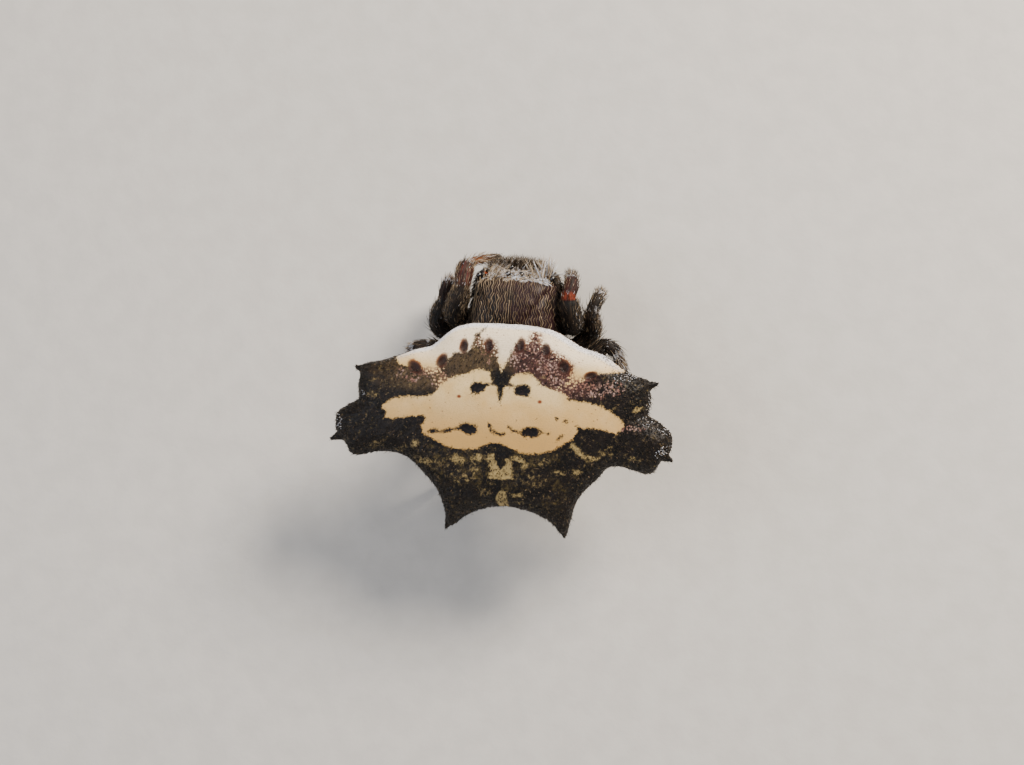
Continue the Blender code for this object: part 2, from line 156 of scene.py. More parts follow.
def finishPiece(name, mesh, finish, nodes=(), smooth=True):
    points = (meshPoints(mesh) + bodyShift) * mm
    setPoints(mesh, points)
    mesh.name = name
    mesh.materials.clear()
    mesh.materials.append(finish)
    if smooth:
        mesh.shade_smooth()
    piece = bpy.data.objects.new(name, mesh)
    bpy.context.scene.collection.objects.link(piece)
    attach(piece, "root")
    if nodes:
        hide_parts(*nodes)
    return piece


def scatterOn(mesh, count, weight, rng, spacing=0.0):
    # random places on a mesh, closer together where its points weigh more
    mesh.calc_loop_triangles()
    corners = np.empty(len(mesh.loop_triangles) * 3, np.int32)
    mesh.loop_triangles.foreach_get("vertices", corners)
    corners = corners.reshape(-1, 3)
    p = meshPoints(mesh)
    area = np.linalg.norm(np.cross(p[corners[:, 1]] - p[corners[:, 0]],
                                   p[corners[:, 2]] - p[corners[:, 0]]), axis=1)
    chance = area * weight[corners].mean(axis=1)
    picked = corners[rng.choice(len(corners), count, p=chance / chance.sum())]
    a, b = rng.random((2, count))
    a, b = np.where(a + b > 1, 1 - a, a), np.where(a + b > 1, 1 - b, b)
    share = np.column_stack((1 - a - b, a, b))
    if np.any(spacing):  # keeps one place in each cell of a grid
        place = (p[picked] * share[:, :, None]).sum(axis=1)
        _, first = np.unique(np.floor(place / spacing).astype(int), axis=0, return_index=True)
        first.sort()
        picked, share = picked[first], share[first]

    def sample(values):
        if values.ndim == 1:
            return (values[picked] * share).sum(axis=1)
        return (values[picked] * share[:, :, None]).sum(axis=1)
    return sample


def hairMesh(name, roots, way, bend, lengths, widths, uv, pale, rings=3, sides=3, wave=0.0, waveLength=0.2,
             seed=1):
    # tapered hairs as one mesh: each starts along its way and leans over by its bend
    count = len(roots)
    rng = np.random.default_rng(seed)
    t = np.linspace(0, 1, rings + 1)
    along = lengths[:, None] * t
    spine = roots[:, None] + along[:, :, None] * way[:, None]
    spine = spine + (along * t)[:, :, None] * bend[:, None]
    aside = unit(np.cross(way, bend + 1e-4))
    if np.any(wave):
        phase = rng.uniform(0, 2 * pi, count)[:, None]
        swing = np.sin(along / waveLength * 2 * pi + phase) - np.sin(phase)
        swing += 0.6 * np.sin(along / waveLength * 2 * pi * 0.43 + 2.3 * phase)
        spine += (np.reshape(wave, (-1, 1)) * swing)[:, :, None] * aside[:, None]
    return tubesMesh(name, spine, aside, np.cross(aside, way), widths, uv, pale, sides)


def tubesMesh(name, spine, aside, up, widths, uv, pale, sides=3):
    count, rings = spine.shape[0], spine.shape[1] - 1
    t = np.linspace(0, 1, rings + 1)
    turn = np.arange(sides) / sides * 2 * pi
    spoke = np.cos(turn)[:, None] * aside[:, None] + np.sin(turn)[:, None] * up[:, None]
    thick = widths[:, None] * (1 - t[:-1]) ** 0.55 / 2
    tube = spine[:, :-1, None] + thick[:, :, None, None] * spoke[:, None]
    points = np.concatenate((tube.reshape(count, rings * sides, 3), spine[:, -1:]), axis=1)
    faces = []
    for k in range(rings - 1):
        for j in range(sides):
            a, b = k * sides + j, k * sides + (j + 1) % sides
            faces += [(a, b, b + sides), (a, b + sides, a + sides)]
    last = (rings - 1) * sides
    faces += [(last + j, last + (j + 1) % sides, rings * sides) for j in range(sides)]
    faces += [(0, j + 1, j) for j in range(1, sides - 1)]
    each = rings * sides + 1
    faces = (np.array(faces)[None] + (np.arange(count) * each)[:, None, None]).reshape(-1, 3)
    mesh = bpy.data.meshes.new(name)
    mesh.vertices.add(count * each)
    mesh.vertices.foreach_set("co", points.astype(np.float32).ravel())
    mesh.loops.add(len(faces) * 3)
    mesh.loops.foreach_set("vertex_index", faces.astype(np.int32).ravel())
    mesh.polygons.add(len(faces))
    mesh.polygons.foreach_set("loop_start", (np.arange(len(faces)) * 3).astype(np.int32))
    mesh.update(calc_edges=True)
    mesh.validate()
    # each hair is a small patch of the skin's unwrap, at its root
    patch = [((j + 0.5) / sides - 0.5, k / rings - 0.5) for k in range(rings) for j in range(sides)]
    patch = np.array(patch + [(0, 0.5)])
    place = (uv[:, None] + patch[None] * 0.003).reshape(-1, 2)
    layer = mesh.uv_layers.new(name="OFBake")
    layer.data.foreach_set("uv", place[faces.ravel()].astype(np.float32).ravel())
    addValues(mesh, "pale", np.repeat(pale, each))
    addValues(mesh, "tip", np.tile(np.append(np.repeat(t[:-1], sides), 1.0), count))
    return mesh


def joinMeshes(name, meshes):
    bm = bmesh.new()
    for mesh in meshes:
        bm.from_mesh(mesh)
    joined = bpy.data.meshes.new(name)
    bm.to_mesh(joined)
    bm.free()
    for mesh in meshes:
        bpy.data.meshes.remove(mesh)
    return joined


# Materials

def linear(hexColour):
    channels = [int(hexColour[i:i + 2], 16) / 255 for i in (0, 2, 4)]
    return (*[c / 12.92 if c <= 0.04045 else ((c + 0.055) / 1.055) ** 2.4 for c in channels], 1.0)


def addNode(tree, kind, *sources, output=0, **settings):
    # sources go into the node's sockets in order: a value, a hex colour, another node's output, or None
    node = tree.nodes.new("ShaderNode" + kind)
    for key, value in settings.items():
        setattr(node, key, value)
    for socket, source in zip([s for s in node.inputs if s.enabled], sources):
        if isinstance(source, bpy.types.NodeSocket):
            tree.links.new(source, socket)
        elif source is not None:
            socket.default_value = linear(source) if isinstance(source, str) else source
    return [s for s in node.outputs if s.enabled][output]


smooth = dict(interpolation_type="SMOOTHSTEP")
inColour = dict(data_type="RGBA")


def startMaterial(name, **sockets):
    finish = bpy.data.materials.new(name)
    finish.use_nodes = True
    tree = finish.node_tree
    shader = tree.nodes["Principled BSDF"]
    for socket, value in sockets.items():
        shader.inputs[socket.replace("_", " ")].default_value = value
    add = partial(addNode, tree)
    inMm = add("Mapping", add("TexCoord", output=3), None, None, (1000, 1000, 1000))
    return finish, shader, add, tree.links.new, inMm


def hairFinish():
    # solid hairs of cuticle: black, through straw, to clear bluish white
    finish, shader, add, link, place = startMaterial("hairCuticle", Roughness=0.42, IOR=1.5,
                                                     Specular_IOR_Level=0.35)
    pale = add("Attribute", attribute_name="pale", output=2)
    colour = add("Mix", add("MapRange", pale, 0.0, 0.45, **smooth), "0b0908", "6a5742", **inColour)
    colour = add("Mix", add("MapRange", pale, 0.35, 0.65, **smooth), colour, "b5a082", **inColour)
    # the bluish-white end also colours the hairs that stand in for painted glints
    colour = add("Mix", add("MapRange", pale, 0.70, 1.0, **smooth), colour, "e4e8f2", **inColour)
    shade = add("MapRange", add("TexNoise", place, 1 / 0.07, 1), 0.3, 0.7, 0.75, 1.15, **smooth)
    colour = add("Mix", 1.0, colour, shade, blend_type="MULTIPLY", **inColour)
    link(colour, shader.inputs["Base Color"])
    return finish


# Abdomen: a wide spined shield over a blunt venter.
# Its own frame has x to the animal's left, y to the rear and z out of the back.

shield = dict(
    centre=(0.0, 0.6, 3.75), tilt=16.0,
    # left half of the rim, from the middle of the front edge round the three spines to the rear's middle;
    # the right half mirrors it, then the rear leans to the right and the front edge swells
    outline=[(0.0, -2.66), (0.85, -2.65), (1.33, -2.55), (1.70, -2.36), (2.02, -2.16), (2.32, -1.98),
             (2.75, -1.76), (3.15, -1.57), (3.55, -1.43), (3.96, -1.34), (4.07, -1.22), (4.06, -1.02),
             (4.10, -0.72), (4.06, -0.36), (4.34, -0.20), (4.66, 0.04), (4.73, 0.26), (4.69, 0.58),
             (4.47, 0.84), (4.38, 0.98), (4.27, 1.17), (4.05, 1.22), (3.70, 1.12), (3.30, 1.04),
             (2.85, 1.11), (2.47, 1.45), (2.06, 1.90), (1.87, 2.20), (1.79, 2.46), (1.72, 2.78),
             (1.62, 3.02), (1.46, 2.96), (1.30, 2.80), (1.03, 2.63), (0.65, 2.46), (0.27, 2.38),
             (0.0, 2.36)],
    lean=0.25, leanY=(0.55, 1.50), leanX=(2.9, 3.7), swells=[(-2.75, 0.55, 0.20), (2.05, 0.36, -0.15)],
    innerReach=(3.9, 2.5), back=0.42, under=0.50, rimWidth=0.55,
    rise=0.34, riseReach=(4.5, 3.0),
    venter=1.75, venterMiddle=(0.0, 0.55), venterSpread=(2.10, 1.55),
    # needle at the end of each spine: root, tip, width at the root
    needles=[((3.72, -1.10, -0.06), (4.28, -1.27, 0.02), 0.46),
             ((-3.74, -1.12, -0.06), (-4.32, -1.28, 0.02), 0.46),
             ((4.20, 0.52, -0.06), (4.88, 0.83, -0.02), 0.62),
             ((-4.20, 0.54, -0.06), (-4.79, 0.86, -0.02), 0.50),
             ((1.25, 2.50, -0.10), (1.52, 3.18, -0.14), 0.50),
             ((-1.76, 2.52, -0.10), (-1.86, 3.20, -0.14), 0.56)],
    around=480, rings=110, voxel=0.036, )

# markings of the back, on the shield's own plan
marks = dict(
    cream=[(0.25, -1.25), (0.30, -1.38), (0.45, -1.46), (0.66, -1.44), (0.93, -1.33), (1.20, -1.21),
           (1.53, -1.11), (1.75, -1.05), (1.69, -0.93), (1.74, -0.81), (1.98, -0.62), (2.35, -0.59),
           (2.72, -0.57), (3.00, -0.49), (3.28, -0.32), (3.31, -0.19), (3.16, -0.09), (3.25, 0.08),
           (3.00, 0.08), (2.60, -0.01), (2.10, -0.07), (2.03, 0.03), (2.16, 0.18), (2.14, 0.38),
           (2.01, 0.49), (1.80, 0.57), (1.45, 0.74), (1.17, 0.79), (0.90, 0.80), (0.56, 0.75), (0.29, 0.63),
           (0.09, 0.57), (-0.12, 0.57), (-0.32, 0.66), (-0.60, 0.78), (-0.94, 0.83), (-1.27, 0.77),
           (-1.60, 0.65), (-1.86, 0.50), (-2.10, 0.32), (-2.21, 0.15), (-2.17, -0.02), (-2.37, 0.01),
           (-2.60, 0.0), (-2.97, 0.07), (-3.27, 0.13), (-3.44, -0.02), (-3.48, -0.16), (-3.35, -0.31),
           (-3.08, -0.50), (-2.74, -0.63), (-2.34, -0.71), (-1.94, -0.74), (-1.83, -0.90), (-1.69, -0.99),
           (-1.46, -1.01), (-1.22, -1.07), (-1.08, -1.20), (-0.93, -1.35), (-0.73, -1.42), (-0.46, -1.39),
           (-0.31, -1.25), (-0.27, -1.12), (-0.36, -1.02), (-0.15, -1.04), (-0.03, -0.56), (0.09, -1.01),
           (0.21, -1.06)],
    # the front band's rear edge, with the wedge between the wings
    band=[(3.04, -3.4), (3.02, -1.58), (2.86, -1.42), (2.58, -1.38), (2.40, -1.42), (2.17, -1.30),
          (1.95, -1.27), (1.76, -1.29), (1.46, -1.68), (1.31, -1.86), (1.12, -1.86), (0.92, -1.92),
          (0.80, -2.12), (0.77, -2.40), (0.67, -2.41), (0.61, -2.22), (0.45, -2.08), (0.24, -2.14),
          (0.10, -1.72), (-0.04, -1.41), (-0.18, -1.72), (-0.36, -2.18), (-0.62, -2.14), (-0.79, -2.24),
          (-0.85, -2.48), (-0.96, -2.46), (-1.06, -2.04), (-1.37, -2.02), (-1.67, -1.85), (-1.98, -1.64),
          (-1.96, -1.38), (-1.80, -1.08), (-2.05, -1.14), (-2.37, -1.36), (-2.76, -1.49), (-3.40, -1.55),
          (-3.60, -3.4)],
    # pale marks of the rear: the M's two halves, the patch at the rear edge, the right-hand streak
    paleMarks=[[(0.24, 0.86), (0.09, 0.87), (-0.02, 1.18), (-0.11, 1.30), (-0.10, 1.57), (0.26, 1.60),
                (0.15, 1.30), (0.24, 1.08)],
               [(-0.12, 1.30), (-0.24, 1.12), (-0.31, 0.93), (-0.42, 1.05), (-0.45, 1.30), (-0.52, 1.56),
                (-0.10, 1.58)],
               [(-0.06, 1.95), (-0.17, 1.82), (-0.28, 1.90), (-0.31, 2.08), (-0.36, 2.36), (-0.02, 2.36),
                (0.02, 2.10)],
               [(-2.10, 0.44), (-2.02, 0.55), (-2.20, 0.75), (-2.50, 0.90), (-2.80, 0.92), (-2.86, 0.80),
                (-2.62, 0.79), (-2.36, 0.70), (-2.24, 0.52)]],
    # pale blotches: x, y, half length, half width, turn in degrees, strength
    blotches=[(2.32, 0.73, 0.20, 0.12, 35, 1.0), (2.76, 0.92, 0.20, 0.12, 10, 0.55),
              (2.06, 1.22, 0.42, 0.20, -15, 0.6), (1.54, 1.22, 0.34, 0.17, 0, 0.5),
              (1.12, 1.08, 0.36, 0.20, -10, 0.85), (0.52, 1.00, 0.36, 0.16, 5, 0.9),
              (0.60, 1.36, 0.20, 0.15, 0, 0.55), (-0.60, 0.98, 0.36, 0.12, -5, 0.9),
              (-0.80, 1.14, 0.14, 0.22, 0, 0.75), (-1.32, 1.04, 0.34, 0.15, 5, 0.55),
              (-1.76, 1.28, 0.25, 0.16, 0, 0.5), (-2.24, 1.25, 0.28, 0.14, 15, 0.7),
              (-3.02, 0.67, 0.30, 0.16, 0, 0.45), (-3.70, 0.80, 0.30, 0.16, 0, 0.4),
              (3.60, -0.55, 0.22, 0.14, 10, 0.65), (-3.80, -0.54, 0.22, 0.11, 15, 1.0),
              (3.45, 0.82, 0.34, 0.14, 10, 0.45), (0.33, 1.98, 0.22, 0.16, 0, 0.42),
              (-0.62, 1.99, 0.30, 0.13, 0, 0.5), (-0.66, 2.20, 0.20, 0.10, 0, 0.45),
              (-1.15, 1.55, 0.50, 0.22, 0, 0.32), (1.00, 1.60, 0.60, 0.25, 0, 0.30)],
    # dark spots on the cream
    darkMarks=[[(0.78, -0.76), (0.84, -0.92), (0.72, -1.07), (0.52, -1.08), (0.34, -1.01), (0.42, -0.88),
                (0.58, -0.76)],
               [(-0.40, -0.98), (-0.56, -1.07), (-0.78, -1.08), (-0.88, -0.94), (-0.80, -0.78),
                (-0.58, -0.76), (-0.44, -0.82)]],
    spots=[(0.83, 0.22, 0.27, 0.15, -6), (-0.93, 0.21, 0.29, 0.14, 5), (1.80, 0.34, 0.14, 0.06, 15),
           (-1.62, -0.20, 0.03, 0.03, 0), (-1.87, -0.14, 0.05, 0.04, 0), (-1.72, 0.33, 0.07, 0.035, 60),
           (-1.42, 0.22, 0.03, 0.03, 0)],
    # dark strokes: points and width
    strokes=[([(0.20, -1.05), (0.42, -1.03)], 0.045), ([(-0.30, -1.06), (-0.50, -1.02)], 0.03),
             ([(0.69, -2.36), (0.62, -2.46), (0.50, -2.60)], 0.030),
             ([(1.10, 0.22), (1.45, 0.32), (1.75, 0.35)], 0.07),
             ([(0.25, 0.05), (0.18, 0.20), (0.05, 0.28), (-0.10, 0.33), (-0.20, 0.30)], 0.07),
             ([(-0.30, 0.10), (-0.42, 0.20), (-0.66, 0.22)], 0.045)],
    redDots=[(1.12, -0.66, 0.06, 0.045, 0), (-1.14, -0.64, 0.06, 0.05, 0)],
    # clusters of pinkish flecks, and where the wings melt into the front band
    flecks=[(-0.42, -1.82, 0.30, 0.42, 0), (-1.22, -1.62, 0.46, 0.34, 0), (-1.55, -1.38, 0.42, 0.36, 0),
            (-0.98, -2.12, 0.16, 0.26, 0), (-1.80, -1.12, 0.42, 0.36, 0), (-2.50, -1.04, 0.60, 0.28, -10),
            (-3.10, -1.10, 0.40, 0.24, 0), (0.36, -1.82, 0.14, 0.26, 0), (2.44, -1.10, 0.30, 0.16, 0),
            (2.82, -1.20, 0.16, 0.18, 0), (1.66, -1.28, 0.20, 0.18, 0), (-3.66, -0.03, 0.42, 0.14, 0)],
    melts=[(-1.60, -1.66, 0.62, 0.50, -35), (-1.90, -1.20, 0.50, 0.46, 0), (-0.95, -2.25, 0.50, 0.40, 0),
           (1.85, -1.25, 0.55, 0.40, -20), (0.40, -2.05, 0.50, 0.40, 0)],
    # pale bristles set in as painted glints on the rim and lobes, most of them on the right-hand side
    glints=[(-2.70, -1.97, 0.42, 0.13, -12), (-3.52, -1.43, 0.55, 0.13, 12), (-4.12, -0.66, 0.12, 0.40, 0),
            (-4.10, -0.20, 0.42, 0.12, -25), (-4.56, 0.04, 0.22, 0.11, -20), (-4.52, 0.54, 0.28, 0.16, 50),
            (4.55, 0.26, 0.12, 0.28, 0), (3.88, -0.57, 0.10, 0.14, 0)],
    # the row of pits behind the front edge; last come how rusty one side is, and which side, in degrees
    pits=[(0.36, -2.09, 0.11, 0.20, 6, 0.30, -60), (-0.51, -2.14, 0.11, 0.20, -6, 0.45, -135),
          (1.06, -2.04, 0.11, 0.18, -4, 1.0, -15), (-1.22, -2.05, 0.12, 0.18, 10, 0.4, 180),
          (1.66, -1.60, 0.13, 0.19, -28, 0.9, -45), (-1.76, -1.61, 0.15, 0.21, 25, 0.8, -150),
          (2.42, -1.38, 0.22, 0.14, -35, 1.0, -110), (-2.50, -1.42, 0.18, 0.10, 15, 1.0, -70)], )


def tiltPoints(points, angle):
    c, s = cos(angle), sin(angle)
    x, y, z = np.asarray(points, float).T
    return np.column_stack((x, y * c + z * s, -y * s + z * c))


def shieldToBody(points):
    return tiltPoints(points, radians(shield["tilt"])) + shield["centre"]


def insideOutline(x, y, outline):
    # distance in mm to an outline, plus inside it and minus outside
    place = np.column_stack((x, y))
    best = np.full(len(x), 1e9)
    inside = np.zeros(len(x), bool)
    ends = np.asarray(outline, float)
    for a, b in zip(ends, np.roll(ends, -1, axis=0)):
        edge = b - a
        along = np.clip((place - a) @ edge / max(edge @ edge, 1e-12), 0, 1)
        best = np.minimum(best, np.linalg.norm(place - a - along[:, None] * edge, axis=1))
        crosses = (a[1] > y) != (b[1] > y)
        inside ^= crosses & (x < edge[0] * (y - a[1]) / (edge[1] if edge[1] else 1e-12) + a[0])
    return np.where(inside, best, -best)


def insideOval(x, y, oval):
    # 1 at an oval's centre, 0 at its edge, less outside
    cx, cy, halfLength, halfWidth, turn = oval[:5]
    c, s = cos(radians(turn)), sin(radians(turn))
    u = ((x - cx) * c + (y - cy) * s) / halfLength
    v = (-(x - cx) * s + (y - cy) * c) / halfWidth
    return 1 - np.hypot(u, v)


def insideStroke(x, y, stroke):
    line, width = stroke
    place = np.column_stack((x, y))
    ends = np.asarray(line, float)
    best = np.full(len(x), 1e9)
    for a, b in zip(ends, ends[1:]):
        edge = b - a
        along = np.clip((place - a) @ edge / (edge @ edge), 0, 1)
        best = np.minimum(best, np.linalg.norm(place - a - along[:, None] * edge, axis=1))
    return width / 2 - best


def shieldRim():
    s = shield
    half = s["outline"]
    line = smoothLine(half + [(-x, y) for x, y in half[-2:0:-1]], 24, closed=True)
    x, y = line.T
    swell = sum(reach * np.exp(-((x - middle) / spread) ** 2) for middle, spread, reach in s["swells"])
    lean = s["lean"] * between(y, *s["leanY"]) * (1 - between(abs(x), *s["leanX"]))
    line = np.column_stack((x - lean, y - swell * (y < 0)))
    line = np.vstack((line, line[:1]))
    gone = np.concatenate(([0], np.cumsum(np.linalg.norm(np.diff(line, axis=0), axis=1))))
    wanted = np.linspace(0, gone[-1], s["around"], endpoint=False)
    return np.column_stack((np.interp(wanted, gone, line[:, 0]), np.interp(wanted, gone, line[:, 1])))


def shieldBlank():
    # a ball whose rings follow the rim, as thick as the distance to the rim allows, with the needles
    s = shield
    rim = shieldRim()
    bm = bmesh.new()
    bmesh.ops.create_uvsphere(bm, u_segments=s["around"], v_segments=s["rings"], radius=1.0)
    ball = meshFrom(bm, "shieldBall")
    p = meshPoints(ball)
    turn = np.arctan2(p[:, 1], p[:, 0]) % (2 * pi) / (2 * pi)
    index = np.rint(turn * s["around"]).astype(int) % s["around"]
    reach = np.minimum(1, np.hypot(p[:, 0], p[:, 1])) ** 0.75
    way = unit(rim[index])
    roundReach = 1 / np.linalg.norm(way / s["innerReach"], axis=1)
    follow = np.clip((reach - 0.25) / 0.75, 0, 1) ** 1.5
    far = reach * (roundReach * (1 - follow) + np.linalg.norm(rim[index], axis=1) * follow)
    x, y = (way * far[:, None]).T
    depth = np.clip(insideOutline(x, y, rim), 0, None)
    edge = np.sqrt(1 - (1 - np.minimum(depth / s["rimWidth"], 1)) ** 2)
    hump = np.maximum(0, 1 - (x / s["riseReach"][0]) ** 2 - (y / s["riseReach"][1]) ** 2)
    top = s["back"] * edge + s["rise"] * hump
    dx = (x - s["venterMiddle"][0]) / s["venterSpread"][0]
    dy = (y - s["venterMiddle"][1]) / s["venterSpread"][1]
    under = -s["under"] * edge - s["venter"] * np.exp(-dx * dx - dy * dy) * edge
    setPoints(ball, np.column_stack((x, y, np.where(p[:, 2] > -1e-6, top, under))))
    bm = bmesh.new()
    bm.from_mesh(ball)
    for root, tip, width in s["needles"]:
        a, b = Vector(root), Vector(tip)
        turn = (b - a).to_track_quat("Z", "Y").to_matrix().to_4x4()
        bmesh.ops.create_cone(bm, cap_ends=True, segments=24, radius1=width / 2, radius2=0.024,
                              depth=(b - a).length, matrix=Matrix.Translation((a + b) / 2) @ turn)
    bm.to_mesh(ball)
    bm.free()
    return remeshed(ball, s["voxel"], 3), rim


def backMarkings(x, y):
    # how far each place on the back is inside the cream, the dark spots, the pits and so on
    m = marks
    cream = np.maximum(insideOutline(x, y, m["cream"]), insideOutline(x, y, m["band"]))
    spots = np.max([insideOval(x, y, o) * min(o[2:4]) for o in m["spots"]]
                   + [insideStroke(x, y, line) for line in m["strokes"]]
                   + [insideOutline(x, y, o) for o in m["darkMarks"]], axis=0)
    pale = np.max([between(insideOutline(x, y, o), -0.05, 0.06) for o in m["paleMarks"]]
                  + [between(insideOval(x, y, o), -0.1, 0.9) * o[5] for o in m["blotches"]], axis=0)
    ovals = np.array([insideOval(x, y, o) for o in m["pits"]])
    cx, cy, _, _, _, strength, side = np.array(m["pits"])[ovals.argmax(axis=0)].T
    facing = np.cos(np.arctan2(y - cy, x - cx) - np.radians(side))
    rustAndEyeShine = strength * between(facing, -0.2, 0.75)
    found = dict(cream=cream, spots=spots, pale=pale, pit=ovals.max(axis=0), rustAndEyeShine=rustAndEyeShine,
                 red=np.max([insideOval(x, y, o) * o[2] for o in m["redDots"]], axis=0))
    for kind in ("flecks", "melts", "glints"):
        found[kind] = between(np.max([insideOval(x, y, o) for o in m[kind]], axis=0), -0.15, 0.6)
    return found


def makeShieldSkin():
    mesh, rim = shieldBlank()
    p, n = meshPoints(mesh), meshNormals(mesh)
    x, y, z = p.T
    depth = insideOutline(x, y, rim)
    back = between(n[:, 2] + 0.6 * z, -0.35, 0.05)
    found = backMarkings(x, y)
    creamy = between(found["cream"], -0.05, 0.06) * back
    # black, grainy cuticle is wherever the cream isn't; the spines and the rim are roughest
    rough = (1 - creamy) * (0.45 + 0.55 * between(depth, 0.9, 0.3))
    rng = np.random.default_rng(5)
    grains = scatterOn(mesh, 16000, 0.02 + rough, rng, 0.075)
    seeds = grains(p)
    tree = KDTree(len(seeds))
    for i, seed in enumerate(seeds):
        tree.insert(seed, i)
    tree.balance()
    gap = np.array([tree.find(q)[2] for q in p])
    size = rng.uniform(0.5, 1.0, len(seeds))[[tree.find(q)[1] for q in p]]
    grain = np.maximum(0, 1 - (gap / 0.046) ** 2) ** 1.5 * size * 0.034 * rough
    swell = 0.022 * softNoise(p, 0.9, 1) + 0.010 * softNoise(p, 0.38, 2) * (0.5 + rough)
    pitDepth = 0.045 * between(found["pit"], -0.15, 0.8)
    spotDepth = 0.020 * between(found["spots"], -0.03, 0.12)
    wrinkle = 0.010 * np.sin(9.0 * y + 2.2 * softNoise(p, 0.8, 3)) * between(y, 0.9, 1.3)
    wrinkle = wrinkle * between(depth, 0.15, 0.5)
    under = 1 - back
    fold = 0.018 * np.sin(11.0 * np.hypot(x, y - 0.55) + 3 * softNoise(p, 0.7, 4)) * under
    fold = fold * between(depth, 0.4, 1.0)
    p = p + n * (grain + swell + wrinkle * back + fold - (pitDepth + spotDepth) * back)[:, None]
    for name, low, high in (("cream", -0.6, 0.6), ("spots", -0.6, 0.6), ("red", -0.5, 0.5), ("pit", -1, 1),
                            ("pale", 0, 1), ("rustAndEyeShine", 0, 1), ("flecks", 0, 1), ("melts", 0, 1)):
        addValues(mesh, name, np.clip(found[name], low, high))
    addValues(mesh, "back", back)
    addValues(mesh, "rim", depth)
    addValues(mesh, "rear",
              between(y, 0.55, 0.85) * between(depth, 0.15, 0.5) * (1 - between(abs(x), 2.4, 3.1)))
    addValues(mesh, "wing",
              between(-y, 0.6, 1.0) * (1 - between(-x, 1.9, 3.2)) * (1 - between(x, 2.4, 4.2)))
    addValues(mesh, "front", between(-y, 1.30, 2.1))
    star = np.exp(-((x + 0.04) / 0.30) ** 2 - ((y + 1.24) / 0.28) ** 2)
    star += 1.2 * np.exp(-((x + 0.03) / 0.12) ** 2) * between(y, -1.3, -1.0)
    addValues(mesh, "star", np.clip(1.3 * star, 0, 1))
    # the glint weight places the pale bristles that are painted glints
    info = dict(rough=rough, cream=found["cream"], back=back, glints=found["glints"] * back,
                plan=np.column_stack((x, y)))
    info["thin"] = 1 - 0.6 * np.maximum(found["flecks"], found["melts"])
    # painted highlight: pale bristles line the front edge, more of them towards the right-hand side
    rim = between(depth, 0.16, 0.04) * between(-y, 1.4, 1.7) * back * between(n[:, 2], -0.1, 0.4)
    info["rim"] = rim * (0.4 + between(-x, 0, 2))
    return mesh, p, info


